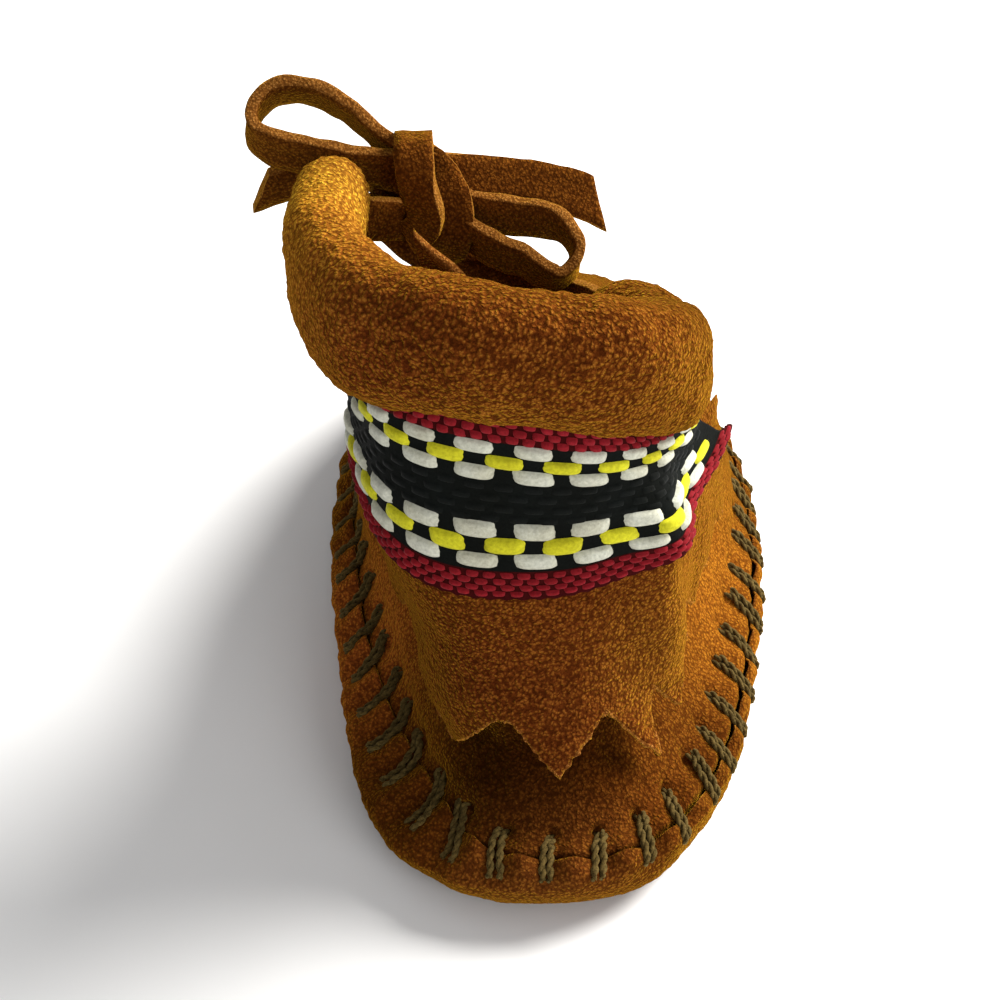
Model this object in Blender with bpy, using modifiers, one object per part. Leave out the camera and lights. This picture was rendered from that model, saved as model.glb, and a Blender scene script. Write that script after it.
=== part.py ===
"""Baby moccasin: a soft right shoe of suede, standing empty on its own sole.

Heel to toe runs along +Y, +X is the outer side of the foot and +Z is up.
Sizes are in millimetres and are turned into metres where a mesh is made.
"""
import math
from collections import namedtuple

import bmesh
import bpy
from mathutils import Vector

MM = 0.001

# ---------------------------------------------------------------- driving dimensions
SOLE_LENGTH = 118.0
MIDDLE_X = 1.271        # where the sole's box has its middle, in the maker's layout
SUEDE = 1.6             # sole and upper
FLAP_SUEDE = 1.4        # ankle flap
RIBBON_CLOTH = 0.9
INSOLE_FELT = 1.2
TONGUE_SUEDE = 1.3
GAP = 0.35              # clearance between pieces that lie on each other
ROUNDNESS = 2.5         # of every ring: 2 is an ellipse, more is squarer
HEM_TEETH = 11          # zigzag teeth from one front end of the flap round to the other
LACE_THICK = 1.6        # of the flat lace where it crosses
LACE_CORD = 2.2         # thickness of the bow's loops and ends, which are folded along
KNOT = 5.0              # thickness of the knot

# The sole's outline, and the upper's rings from the ledge over the seam to the ankle.
# back and front are where the ring crosses the middle line. heel_half and ball_half are its
# half widths, heel_shift is how far its heel end stands to the outer side. side_tilt drops
# the outer side. flap_end and ribbon_end are how far forward those two reach.
Level = namedtuple(
    "Level",
    "name back front heel_half ball_half heel_shift z_back z_side z_front side_tilt "
    "flap_end ribbon_end slit",
)
OUTLINE = Level("outline", 0.0, SOLE_LENGTH, 27.6, 30.3, 0.9, 0.0, 0.0, 0.0, 0.0, 0, 0, 0)
UPPER_LEVELS = (
    Level("ledge", 7.6, 112.5, 19.6, 26.8, 1.9, 11.4, 15.5, 18.0, 0.00, 58.0, 53.0, 0),
    Level("heel", 12.0, 105.0, 14.6, 24.4, 1.6, 16.0, 23.5, 26.0, 0.00, 57.0, 52.0, 0),
    Level("ankle bone", 14.6, 93.0, 15.3, 22.6, 0.2, 22.5, 31.0, 32.0, 0.00, 55.0, 51.0, 0),
    Level("instep", 16.2, 79.0, 16.4, 20.8, -1.0, 30.0, 37.0, 37.5, 0.00, 52.0, 48.0, 0),
    Level("throat", 17.0, 65.0, 16.8, 18.8, -1.7, 37.0, 41.5, 42.5, 0.00, 46.5, 42.5, 0),
    Level("tongue", 16.6, 56.0, 15.8, 17.6, -2.2, 44.0, 46.0, 47.5, 0.04, 40.5, 37.0, 24),
    Level("ankle", 16.0, 51.0, 15.2, 16.9, -2.4, 53.0, 51.6, 51.5, 0.12, 37.0, 34.0, 38),
    Level("top", 15.2, 48.0, 15.2, 16.4, -2.3, 62.4, 57.6, 55.4, 0.215, 35.0, 32.0, 46),
)
FIRST_LEVEL = 2         # levels 0 and 1 are the hidden margin and the seam, inside the sole
THROAT_LEVEL = 6.0
TOP_LEVEL = 9.0
SLIT_SHIFT = 0.3        # how far the split turns to the outer side, as a share of itself
HORN_RISE = 0.95        # how many levels higher the inner front corner of the top edge stands
HORN_LEVEL = 8.0        # the level where that begins
HORN_TURN = -136.0
HORN_SPREAD = 26.0
RIBBON_FOOT = 6.42      # the level of the ribbon's lower edge
HEM_LEVEL = 3.0         # the level that the flap's hem hangs beside
HEM_HEIGHT = 17.0       # how high the hem hangs at the back
HEM_RISE = 0.4          # how much of that level's rise towards the sides the hem follows
HEM_CLEAR = 0.9         # how far the hem hangs clear of the heel on the inner side
HEM_CLEAR_OUTER = 1.0   # and how much farther on the outer side
HANG_EASE = 0.35        # how soon the flap leaves the heel: 0 late, 1 at once
TOOTH_TIP = 2.95        # the level of the teeth's tips
HEM_NOTCH = 0.85        # how many levels deep the notches are
END_LIFT = 0.6          # how far the front ends stand off
OUTER_FLARE = 3.0       # how far the outer front end turns away at the ribbon's foot
FLARE_TOP = 8.0         # the level where that turning away begins
FLARE_DEPTH = 1.5
FOLD = 3.0              # how far the fold at the heel's outer corner stands off
FOLD_AT_HEM = 0.8       # the share of it that is left at the hem
FOLD_TURN = 50.0
FOLD_SPREAD = 12.0
FOLD_TOP = 8.6          # the level where the fold begins
FOLD_DEPTH = 1.2

# The turned-up wall of the sole: height over the ground and how far in from the outline.
WallRow = namedtuple("WallRow", "height inset")
WALL = (
    WallRow(0.0, 5.8),
    WallRow(0.7, 3.7),
    WallRow(2.1, 1.7),
    WallRow(4.2, 0.4),
    WallRow(6.3, 0.0),
    WallRow(8.0, 0.5),
    WallRow(9.4, 1.9),
)
WALL_LEAN_IN = 1.5      # more inset at the top of the inner side, less at the outer side
CORNER_TURN = -41.0     # the heel's inner corner, where the wall is fullest and leans in most
CORNER_SPREAD = 27.0
CORNER_LEAN = 3.6
CORNER_SWELL = 1.3
MARGIN_HEIGHT = 7.2     # the height of the wall that the upper's hidden edge lies against

# The tongue: the level it starts at, how many levels it rises, and its half width.
TONGUE_ROOT = 5.2
TONGUE_RISE = 4.6
TONGUE_HALF = 10.0
TONGUE_SHIFT = 4.0      # how far its top stands to the inner side

# The collar roll, from its inner front end round the back to its outer front end.
RollRow = namedtuple("RollRow", "x y z thick tall")
ROLL = (
    RollRow(-21.6, 48.6, 70.6, 7.0, 10.0),
    RollRow(-22.7, 44.0, 70.9, 7.9, 13.4),
    RollRow(-22.9, 36.0, 70.8, 8.9, 16.2),
    RollRow(-21.2, 27.8, 71.4, 10.4, 16.2),
    RollRow(-15.8, 19.4, 72.1, 11.2, 15.0),
    RollRow(-8.0, 15.4, 72.2, 11.0, 14.6),
    RollRow(0.5, 14.6, 71.2, 11.0, 15.0),
    RollRow(8.2, 16.6, 68.9, 11.0, 15.0),
    RollRow(13.2, 22.0, 65.1, 11.0, 14.0),
    RollRow(14.4, 29.2, 61.2, 10.6, 12.2),
    RollRow(12.8, 36.0, 60.0, 9.8, 11.2),
    RollRow(8.4, 41.2, 59.0, 8.4, 9.4),
)
ROLL_WALL = 2.0

# The lace: the flat crossing from the tunnel's inner mouth to its outer mouth, and the bow.
LaceRow = namedtuple("LaceRow", "x y z wide")
LACE_BAR = (
    LaceRow(-22.4, 45.4, 70.8, 2.6),
    LaceRow(-21.6, 48.6, 70.5, 2.6),
    LaceRow(-20.0, 51.2, 69.4, 2.6),
    LaceRow(-17.2, 52.8, 67.4, 2.8),
    LaceRow(-13.8, 52.8, 65.2, 2.8),
    LaceRow(-9.8, 51.2, 63.0, 2.8),
    LaceRow(-5.8, 49.4, 61.5, 3.0),
    LaceRow(-1.6, 48.0, 60.5, 3.0),
    LaceRow(2.8, 46.7, 59.6, 3.0),
    LaceRow(6.2, 43.8, 59.2, 3.0),
    LaceRow(8.5, 41.0, 59.0, 3.0),
    LaceRow(10.7, 38.4, 59.5, 3.0),
)
Spot = namedtuple("Spot", "x y z")
LACE_KNOT = (
    Spot(-13.2, 50.8, 76.9),
    Spot(-13.2, 48.3, 75.0),
    Spot(-12.9, 47.6, 70.2),
    Spot(-12.2, 48.9, 66.0),
)
LACE_LOOP_LEFT = (
    Spot(-16.0, 53.5, 75.2),
    Spot(-21.0, 56.0, 78.1),
    Spot(-24.3, 57.5, 79.5),
    Spot(-27.3, 58.0, 80.2),
    Spot(-30.0, 57.5, 79.5),
    Spot(-31.7, 56.0, 78.0),
    Spot(-31.9, 54.0, 76.6),
    Spot(-30.2, 52.8, 75.6),
    Spot(-26.7, 52.2, 74.7),
    Spot(-22.5, 51.7, 74.0),
    Spot(-16.1, 50.8, 72.9),
)
LACE_LOOP_RIGHT = (
    Spot(-8.4, 49.4, 66.4),
    Spot(-4.3, 47.0, 64.7),
    Spot(-0.8, 46.0, 63.6),
    Spot(1.6, 45.2, 62.8),
    Spot(3.4, 45.0, 62.7),
    Spot(4.9, 45.8, 63.3),
    Spot(5.3, 47.0, 64.5),
    Spot(4.3, 48.2, 66.0),
    Spot(2.3, 49.0, 66.9),
    Spot(-0.8, 49.6, 67.3),
    Spot(-4.5, 50.2, 67.7),
    Spot(-8.3, 51.4, 68.9),
)
LACE_END_LEFT = (
    Spot(-15.2, 52.4, 71.2),
    Spot(-20.6, 55.4, 70.4),
    Spot(-25.0, 56.4, 69.4),
    Spot(-29.4, 56.6, 68.3),
    Spot(-34.0, 56.1, 66.9),
)
LACE_END_RIGHT = (
    Spot(-10.8, 50.4, 72.4),
    Spot(-5.6, 52.0, 71.3),
    Spot(-0.2, 52.2, 70.4),
    Spot(4.9, 51.9, 69.4),
    Spot(10.2, 51.2, 68.4),
)


# ---------------------------------------------------------------- small sums
def smooth(t):
    t = min(max(t, 0.0), 1.0)
    return t * t * (3.0 - 2.0 * t)


def signed_power(value, power):
    return math.copysign(abs(value) ** power, value)


def spline(values, at):
    """Smooth value between the entries of a list: at 2.5 is halfway from the third to the fourth."""
    last = len(values) - 1
    i = min(max(int(math.floor(at)), 0), last - 1)
    t = at - i
    before = values[i - 1] if i > 0 else values[i] * 2 - values[i + 1]
    after = values[i + 2] if i + 2 <= last else values[i + 1] * 2 - values[i]
    a = values[i]
    b = values[i + 1]
    return (
        a * 2
        + (b - before) * t
        + (before * 2 - a * 5 + b * 4 - after) * (t * t)
        + (a * 3 - before - b * 3 + after) * (t * t * t)
    ) * 0.5


def ground(y):
    """Height of the sole's underside: flat at heel and ball, a low arch, and toe spring."""
    arch = 0.9 * math.sin(math.pi * min(max((y - 42.0) / 24.0, 0.0), 1.0)) ** 2
    spring = 3.2 * (max(y - 98.0, 0.0) / 20.0) ** 2
    heel = 0.7 * (max(9.0 - y, 0.0) / 9.0) ** 2
    return arch + spring + heel


# ---------------------------------------------------------------- the last
def ring_point(level, turn):
    """A point of one ring. turn is 0 at the back, 90 at the outer side and 180 at the front."""
    a = math.radians(turn)
    share = 0.5 - 0.5 * signed_power(math.cos(a), 2.0 / ROUNDNESS)
    y = level.back + (level.front - level.back) * share
    wide = level.heel_half + (level.ball_half - level.heel_half) * smooth((share - 0.2) / 0.45)
    bow = 1.3 * math.sin(math.pi * share) - 1.6 * share * share
    x = signed_power(math.sin(a), 2.0 / ROUNDNESS) * wide
    middle = level.heel_shift * (1.0 - share) + bow * (level.front - level.back) / SOLE_LENGTH
    z = (
        level.z_back * (1 - share) * (1 - 2 * share)
        + level.z_side * 4 * share * (1 - share)
        + level.z_front * share * (2 * share - 1)
    )
    return Vector((x + middle, y, z - level.side_tilt * x))


def inward(level, turn):
    """The level direction that points into the ring, square to it."""
    step = ring_point(level, turn + 1.0) - ring_point(level, turn - 1.0)
    step.z = 0.0
    step.normalize()
    return Vector((-step.y, step.x, 0.0))


def wall_row(height, turn):
    """Inset of the sole's wall at a height, and its inward slope there, as (inset, slope)."""
    rows = WALL
    corner = math.exp(-(((turn + 180.0) % 360.0 - 180.0 - CORNER_TURN) / CORNER_SPREAD) ** 2)
    lean = CORNER_LEAN * corner - WALL_LEAN_IN * math.sin(math.radians(turn))
    insets = [
        r.inset
        + lean * smooth((r.height - 5.5) / 4.0)
        - CORNER_SWELL * corner * smooth(r.height / 4.0) * (1.0 - smooth((r.height - 6.0) / 3.0))
        for r in rows
    ]
    for i in range(len(rows) - 1):
        if height <= rows[i + 1].height or i == len(rows) - 2:
            t = (height - rows[i].height) / (rows[i + 1].height - rows[i].height)
            slope = (insets[i + 1] - insets[i]) / (rows[i + 1].height - rows[i].height)
            return insets[i] + (insets[i + 1] - insets[i]) * t, slope
    return insets[-1], 0.0


def wall_point(height, turn, deep=0.0):
    """A point of the sole's wall, moved deep millimetres into the shoe, square to the wall."""
    inset, slope = wall_row(height, turn)
    across = 1.0 / math.hypot(1.0, slope)
    point = ring_point(OUTLINE, turn) + inward(OUTLINE, turn) * (inset + deep * across)
    point.z = height - deep * slope * across + ground(point.y)
    return point


def upper_point(turn, level):
    """A point of the upper's outside; level 0 is its hidden edge and 9 its top edge."""
    deep = SUEDE + 1.6 * GAP
    points = [wall_point(MARGIN_HEIGHT, turn, deep), wall_point(WALL[-1].height, turn, deep)]
    points += [ring_point(row, turn) for row in UPPER_LEVELS]
    return spline(points, level)


def row_value(name, level):
    """A column of the upper's table at a level."""
    values = [getattr(row, name) for row in UPPER_LEVELS]
    return spline(values, max(level - FIRST_LEVEL, 0.0))


def out_of_upper(turn, level):
    """The direction that points away from the upper's outside, square to it."""
    along = upper_point(turn + 2.0, level) - upper_point(turn - 2.0, level)
    rising = upper_point(turn, level + 0.15) - upper_point(turn, level - 0.15)
    return along.cross(rising).normalized()


def turn_at(y, level):
    """The turn at which the ring of a level reaches y, on the outer side."""
    low, high = 1.0, 179.0
    for _ in range(30):
        middle = 0.5 * (low + high)
        if upper_point(middle, level).y < y:
            low = middle
        else:
            high = middle
    return 0.5 * (low + high)


def even_shares(level, end, columns):
    """Shares of the turn, from -1 to 1, that cut the ring's stretch behind y = end evenly."""
    last_turn = turn_at(end, level)
    fine = [upper_point(last_turn * k / 60.0, level) for k in range(61)]
    run = [0.0]
    for a, b in zip(fine, fine[1:]):
        run.append(run[-1] + (b - a).length)
    half = []
    for i in range(columns // 2 + 1):
        want = run[-1] * i / (columns // 2)
        k = 0
        while k < 59 and run[k + 1] < want:
            k += 1
        half.append((k + (want - run[k]) / (run[k + 1] - run[k])) / 60.0)
    return [-h for h in half[:0:-1]] + half


# ---------------------------------------------------------------- meshes
def collection(name):
    group = bpy.data.collections.new(name)
    bpy.context.scene.collection.children.link(group)
    return group


def material(name, colour, roughness):
    mat = bpy.data.materials.new(name)
    mat.use_nodes = True
    shader = mat.node_tree.nodes["Principled BSDF"]
    shader.inputs["Base Color"].default_value = (*colour, 1.0)
    shader.inputs["Roughness"].default_value = roughness
    shader.inputs["Metallic"].default_value = 0.0
    return mat


def part(name, bm, mat, group):
    """Makes a named object of a bmesh, in metres, with the bottom centre as its origin."""
    mesh = bpy.data.meshes.new(name)
    bmesh.ops.scale(bm, vec=(MM, MM, MM), verts=bm.verts)
    bm.to_mesh(mesh)
    bm.free()
    obj = bpy.data.objects.new(name, mesh)
    group.objects.link(obj)
    mesh.materials.append(mat)
    return obj


def to_frame(point):
    """From the maker's layout, with the heel at 0, to the frame with the shoe's middle at 0."""
    return Vector((point.x - MIDDLE_X, point.y - 0.5 * SOLE_LENGTH, point.z))


def sheet(rows, closed):
    """A bmesh of quads through rows of points, joined round where closed."""
    bm = bmesh.new()
    grid = [[bm.verts.new(to_frame(p)) for p in row] for row in rows]
    for lower, higher in zip(grid, grid[1:]):
        last = len(lower) if closed else len(lower) - 1
        for i in range(last):
            j = (i + 1) % len(lower)
            bm.faces.new((lower[i], lower[j], higher[j], higher[i]))
    return bm, grid


def thicken(obj, thick):
    """Suede of one thickness: the sheet is the outside, and the body lies inside it."""
    solid = obj.modifiers.new("thickness", "SOLIDIFY")
    solid.thickness = thick * MM
    solid.offset = -1.0
    solid.use_even_offset = True
    solid.use_quality_normals = True
    return obj


# ---------------------------------------------------------------- sole, insole, upper, tongue
def make_sole(mat, group):
    turns = [360.0 * i / 52 for i in range(52)]
    middle = Vector((1.2, 59.0, 0.0))
    edge = [wall_point(0.0, t) for t in turns]
    rows = []
    for share in (0.35, 0.65, 0.86):
        row = [middle.lerp(p, share) for p in edge]
        for p in row:
            p.z = ground(p.y)
        rows.append(row)
    rows += [[wall_point(r.height, t) for t in turns] for r in WALL]
    bm, grid = sheet(rows, closed=True)
    centre = middle.copy()
    centre.z = ground(centre.y)
    hub = bm.verts.new(to_frame(centre))
    first = grid[0]
    for i, vert in enumerate(first):
        bm.faces.new((hub, first[(i + 1) % len(first)], vert))
    bmesh.ops.recalc_face_normals(bm, faces=bm.faces)
    return thicken(part("sole", bm, mat, group), SUEDE)


def make_insole(mat, group):
    inset = 6.6
    turns = [360.0 * i / 40 for i in range(40)]
    rows = []
    top = SUEDE + 1.6 * GAP + INSOLE_FELT
    for share in (0.35, 0.7, 1.0):
        row = []
        for t in turns:
            edge = ring_point(OUTLINE, t) + inward(OUTLINE, t) * inset
            p = Vector((1.2, 59.0, 0.0)).lerp(edge, share)
            p.z = ground(p.y) + top
            row.append(p)
        rows.append(row)
    bm, grid = sheet(rows, closed=True)
    hub = bm.verts.new(to_frame(Vector((1.2, 59.0, ground(59.0) + top))))
    first = grid[0]
    for i, vert in enumerate(first):
        bm.faces.new((hub, vert, first[(i + 1) % len(first)]))
    bmesh.ops.recalc_face_normals(bm, faces=bm.faces)
    if bm.faces[0].normal.z < 0:
        bmesh.ops.reverse_faces(bm, faces=bm.faces)
    return thicken(part("insole", bm, mat, group), INSOLE_FELT)


def make_upper(mat, group):
    """Vamp and quarters in one hollow piece, split down the front over the tongue."""
    columns = 52
    levels = [0.0, 1.0, 1.5, 2.0, 2.5, 3.0, 3.6, 4.2, 4.8, 5.4, 6.0, 6.7, 7.4, 8.2, 9.0]
    rows = []
    for level in levels:
        slit = max(row_value("slit", level), 0.0) if level > THROAT_LEVEL else 0.0
        squeeze = 1.0 - slit / 180.0
        row = []
        for i in range(columns + 1):
            turn = (360.0 * i / columns - 180.0) * squeeze - SLIT_SHIFT * slit
            horn = HORN_RISE * math.exp(-((turn - HORN_TURN) / HORN_SPREAD) ** 2)
            row.append(upper_point(turn, level + horn * max(level - HORN_LEVEL, 0.0)))
        rows.append(row)
    bm, _ = sheet(rows, closed=False)
    bmesh.ops.remove_doubles(bm, verts=bm.verts, dist=0.02)
    bmesh.ops.recalc_face_normals(bm, faces=bm.faces)
    return thicken(part("upper", bm, mat, group), SUEDE)


def make_tongue(mat, group):
    """A strip that starts under the vamp and stands up behind the split, with a round top."""
    across = 10
    rows = []
    for k in range(9):
        share = k / 8.0
        row = []
        for i in range(across + 1):
            side = 2.0 * i / across - 1.0
            crown = 1.0 - 0.20 * abs(side + 0.4) ** 2.5
            level = TONGUE_ROOT + TONGUE_RISE * share * crown
            half = TONGUE_HALF * (0.75 + 0.25 * share)
            ring_half = max(row_value("ball_half", min(level, TOP_LEVEL)), 1.0)
            place = (half * side - TONGUE_SHIFT * share) / ring_half
            turn = 180.0 - math.degrees(math.asin(min(max(place, -0.95), 0.95)))
            point = upper_point(turn, level)
            row.append(point - out_of_upper(turn, level) * (SUEDE + 2.0 * GAP))
        rows.append(row)
    bm, _ = sheet(rows, closed=False)
    bmesh.ops.recalc_face_normals(bm, faces=bm.faces)
    middle = [f for f in bm.faces if abs(f.calc_center_median().x) < 3.0]
    if middle[0].normal.y + middle[0].normal.z < 0.0:
        bmesh.ops.reverse_faces(bm, faces=bm.faces)
    return thicken(part("tongue", bm, mat, group), TONGUE_SUEDE)


# ---------------------------------------------------------------- flap, ribbon, collar
def on_ring(share, ends, level, stand, flat):
    """A point that stands clear of the upper's ring; flat is 1 where it stands off level."""
    turn = share * turn_at(row_value(ends, level), level)
    away = out_of_upper(turn, level)
    away.z *= 1.0 - flat
    away.normalize()
    flare = OUTER_FLARE * (1.0 - flat) * max(share, 0.0) ** 4
    flare *= min(max((FLARE_TOP - level) / FLARE_DEPTH, 0.0), 1.0)
    fold = FOLD * math.exp(-((turn - FOLD_TURN) / FOLD_SPREAD) ** 2)
    fold *= min(max((FOLD_TOP - level) / FOLD_DEPTH, 0.0), 1.0)
    fold *= 1.0 + (FOLD_AT_HEM - 1.0) * flat
    return upper_point(turn, level) + away * (stand + END_LIFT * share ** 4 + flare + fold)


def wrap(levels_at, ends, columns, offset):
    """Rows of points round the back of the upper: on it above the ribbon's foot, free below."""
    shares = even_shares(HEM_LEVEL, row_value(ends, HEM_LEVEL), columns)
    rows = [[] for _ in levels_at(0.0)]
    for i, share in enumerate(shares):
        foot = on_ring(share, ends, RIBBON_FOOT, offset, 0.0)
        clear = HEM_CLEAR + HEM_CLEAR_OUTER * min(max(0.5 + share * 1.6, 0.0), 1.0)
        hem = on_ring(share, ends, HEM_LEVEL, offset + clear, 1.0)
        hem.z = HEM_HEIGHT + HEM_RISE * (hem.z - UPPER_LEVELS[1].z_back)
        for row, level in zip(rows, levels_at(2.0 * i / columns - 1.0)):
            drop = (RIBBON_FOOT - level) / (RIBBON_FOOT - HEM_LEVEL)
            if drop < 0.0:
                row.append(on_ring(share, ends, level, offset, 0.0))
            else:
                point = foot.lerp(hem, drop * (HANG_EASE + (1.0 - HANG_EASE) * drop))
                point.z = foot.z + (hem.z - foot.z) * drop
                row.append(point)
    return rows


def make_flap(mat, group):
    def levels_at(side):
        tooth = side * HEM_TEETH * 0.5 + 0.5 * (HEM_TEETH % 2)
        notch = abs(2.0 * (tooth - math.floor(tooth)) - 1.0)
        foot = TOOTH_TIP + HEM_NOTCH * notch
        top = TOP_LEVEL - 0.03
        return [top + (foot - top) * (k / 8.0) for k in range(9)]

    rows = wrap(levels_at, "flap_end", HEM_TEETH * 4, GAP + FLAP_SUEDE)
    bm, _ = sheet(rows, closed=False)
    bmesh.ops.recalc_face_normals(bm, faces=bm.faces)
    outward_at_back(bm)
    return thicken(part("cuff_flap", bm, mat, group), FLAP_SUEDE)


def make_ribbon(mat, group):
    def levels_at(_):
        top = TOP_LEVEL - 0.03
        return [top + (RIBBON_FOOT - top) * (k / 5.0) for k in range(6)]

    rows = wrap(levels_at, "ribbon_end", 36, 2.4 * GAP + FLAP_SUEDE + RIBBON_CLOTH)
    bm, _ = sheet(rows, closed=False)
    bmesh.ops.recalc_face_normals(bm, faces=bm.faces)
    outward_at_back(bm)
    return thicken(part("ribbon_band", bm, mat, group), RIBBON_CLOTH)


def outward_at_back(bm):
    """Turns the sheet so that its face at the back of the heel looks backward."""
    back = min(bm.faces, key=lambda f: f.calc_center_median().y)
    if back.normal.y > 0.0:
        bmesh.ops.reverse_faces(bm, faces=bm.faces)


def route_point(rows, at):
    """A point of the smooth line through the rows' x, y and z."""
    return spline([Vector((r.x, r.y, r.z)) for r in rows], at)


def roll_ring(at, shrink, sides):
    """One section across the collar roll, smaller all round by shrink."""
    centre, ahead = route_point(ROLL, at), route_point(ROLL, at + 0.05)
    along = (ahead - centre).normalized()
    side = along.cross(Vector((0.0, 0.0, 1.0))).normalized()
    up = side.cross(along)
    half_thick = 0.5 * spline([r.thick for r in ROLL], at) - shrink
    half_tall = 0.5 * spline([r.tall for r in ROLL], at) - shrink
    ring = []
    for i in range(sides):
        a = 2.0 * math.pi * i / sides
        ring.append(
            centre
            + side * (half_thick * signed_power(math.cos(a), 0.85))
            + up * (half_tall * signed_power(math.sin(a), 0.85))
        )
    return ring


def make_collar(mat, group):
    """The rolled collar is the lace's tunnel, so it is a tube that is open at both front ends."""
    rings = 34
    last = len(ROLL) - 1
    stations = [(0.0, 1.1), (0.12, 0.3)]
    stations += [(last * k / rings, 0.0) for k in range(1, rings)]
    stations += [(last - 0.12, 0.3), (float(last), 1.1)]
    outside = [roll_ring(at, less, 13) for at, less in stations]
    inside = [roll_ring(at, ROLL_WALL, 13) for at, _ in stations]
    bm, grid = sheet(outside + inside[::-1], closed=True)
    first, last_ring = grid[0], grid[-1]
    for i in range(len(first)):
        j = (i + 1) % len(first)
        bm.faces.new((last_ring[i], last_ring[j], first[j], first[i]))
    bmesh.ops.recalc_face_normals(bm, faces=bm.faces)
    return part("collar_roll", bm, mat, group)


def make_lace_bar(mat, group):
    """The flat lace where it crosses from one mouth of the tunnel to the other."""
    steps = 3 * (len(LACE_BAR) - 1)
    rings = []
    for k in range(steps + 1):
        at = k / 3.0
        centre, ahead = route_point(LACE_BAR, at), route_point(LACE_BAR, at + 0.05)
        along = (ahead - centre).normalized()
        side = along.cross(Vector((0.0, 0.0, 1.0))).normalized()
        up = side.cross(along)
        half = 0.5 * spline([r.wide for r in LACE_BAR], at)
        edge = 0.5 * LACE_THICK
        corners = ((-1, -1), (1, -1), (1, 1), (-1, 1))
        rings.append([centre + side * (edge * a) + up * (half * b) for a, b in corners])
    bm, grid = sheet(rings, closed=True)
    bm.faces.new(grid[0])
    bm.faces.new(grid[-1][::-1])
    bmesh.ops.recalc_face_normals(bm, faces=bm.faces)
    return part("lace_bar", bm, mat, group)


def make_cord(name, spots, thick, mat, group):
    """A round cord through the spots, closed at both ends."""
    curve = bpy.data.curves.new(name, "CURVE")
    curve.dimensions = "3D"
    curve.bevel_depth = 0.5 * thick * MM
    curve.bevel_resolution = 2
    curve.use_fill_caps = True
    line = curve.splines.new("POLY")
    count = 2 * (len(spots) - 1) + 1
    line.points.add(count - 1)
    for k in range(count):
        line.points[k].co = (*(to_frame(route_point(spots, k / 2.0)) * MM), 1.0)
    holder = bpy.data.objects.new(name + "_curve", curve)
    group.objects.link(holder)
    bpy.context.view_layer.update()
    mesh = bpy.data.meshes.new_from_object(holder.evaluated_get(bpy.context.evaluated_depsgraph_get()))
    bpy.data.objects.remove(holder, do_unlink=True)
    bm = bmesh.new()
    bm.from_mesh(mesh)
    bmesh.ops.remove_doubles(bm, verts=bm.verts, dist=0.01 * MM)
    bmesh.ops.recalc_face_normals(bm, faces=bm.faces)
    bm.to_mesh(mesh)
    bm.free()
    mesh.name = name
    mesh.materials.clear()
    mesh.materials.append(mat)
    obj = bpy.data.objects.new(name, mesh)
    group.objects.link(obj)
    return obj


def main():
    for obj in list(bpy.data.objects):
        bpy.data.objects.remove(obj, do_unlink=True)
    group = collection("baby_moccasin")
    suede = material("suede", (0.32, 0.115, 0.015), 0.9)
    sole_suede = material("sole_suede", (0.27, 0.095, 0.014), 0.92)
    lining = material("lining", (0.24, 0.11, 0.04), 0.95)
    lace = material("lace", (0.30, 0.12, 0.03), 0.88)
    ribbon = material("ribbon", (0.03, 0.03, 0.035), 0.7)
    make_sole(sole_suede, group)
    make_insole(lining, group)
    make_upper(suede, group)
    make_tongue(suede, group)
    make_flap(suede, group)
    make_ribbon(ribbon, group)
    make_collar(suede, group)
    make_lace_bar(lace, group)
    make_cord("lace_knot", LACE_KNOT, KNOT, lace, group)
    make_cord("lace_loop_left", LACE_LOOP_LEFT, LACE_CORD, lace, group)
    make_cord("lace_loop_right", LACE_LOOP_RIGHT, LACE_CORD, lace, group)
    make_cord("lace_end_left", LACE_END_LEFT, LACE_CORD, lace, group)
    make_cord("lace_end_right", LACE_END_RIGHT, LACE_CORD, lace, group)


main()
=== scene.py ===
# %% [markdown]
# # A baby moccasin in Blender
# This lesson dresses a plain model of a baby's moccasin with its real surfaces: napped suede, a
# woven ribbon, whip stitches in twisted cord, and a suede lace tied in a bow. The plain model gives
# every size and place, and each new piece stands for one of its pieces.

import math
import random

import bmesh
import bpy
import numpy as np
from mathutils import Matrix, Vector, noise


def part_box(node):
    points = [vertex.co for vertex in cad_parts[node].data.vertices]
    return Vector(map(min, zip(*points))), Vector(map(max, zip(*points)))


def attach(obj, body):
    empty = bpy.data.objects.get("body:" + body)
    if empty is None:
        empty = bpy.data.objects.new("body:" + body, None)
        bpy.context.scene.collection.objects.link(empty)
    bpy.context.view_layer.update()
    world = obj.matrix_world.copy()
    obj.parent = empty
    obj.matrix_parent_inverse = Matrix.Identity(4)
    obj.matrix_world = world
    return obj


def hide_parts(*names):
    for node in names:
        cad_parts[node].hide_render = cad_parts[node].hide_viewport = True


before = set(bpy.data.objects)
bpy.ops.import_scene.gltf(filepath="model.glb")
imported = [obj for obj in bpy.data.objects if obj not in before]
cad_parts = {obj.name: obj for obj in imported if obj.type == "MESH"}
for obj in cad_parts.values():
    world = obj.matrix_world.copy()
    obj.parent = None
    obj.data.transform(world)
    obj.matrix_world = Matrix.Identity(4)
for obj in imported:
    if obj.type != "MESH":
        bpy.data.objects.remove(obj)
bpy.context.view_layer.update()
noise.seed_set(5)  # the same noise in every run

# %% [markdown]
# ## Where we stand
# The shoe is seen from behind and above, at about 38 degrees. The camera comes first, because
# everything after it is judged through it. It looks from `EYE` at `AIM`, and `UPRIGHT` says which
# way is up in the view, so a small lean of the hand that held the camera stays in.

# %% Camera
MM = 0.001
EYE = Vector((-2.8, -210.1, 184.0)) * MM
AIM = Vector((-5.5, -10.0, 25.8)) * MM
UPRIGHT = Vector((0.014, 0.620, 0.784))

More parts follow.
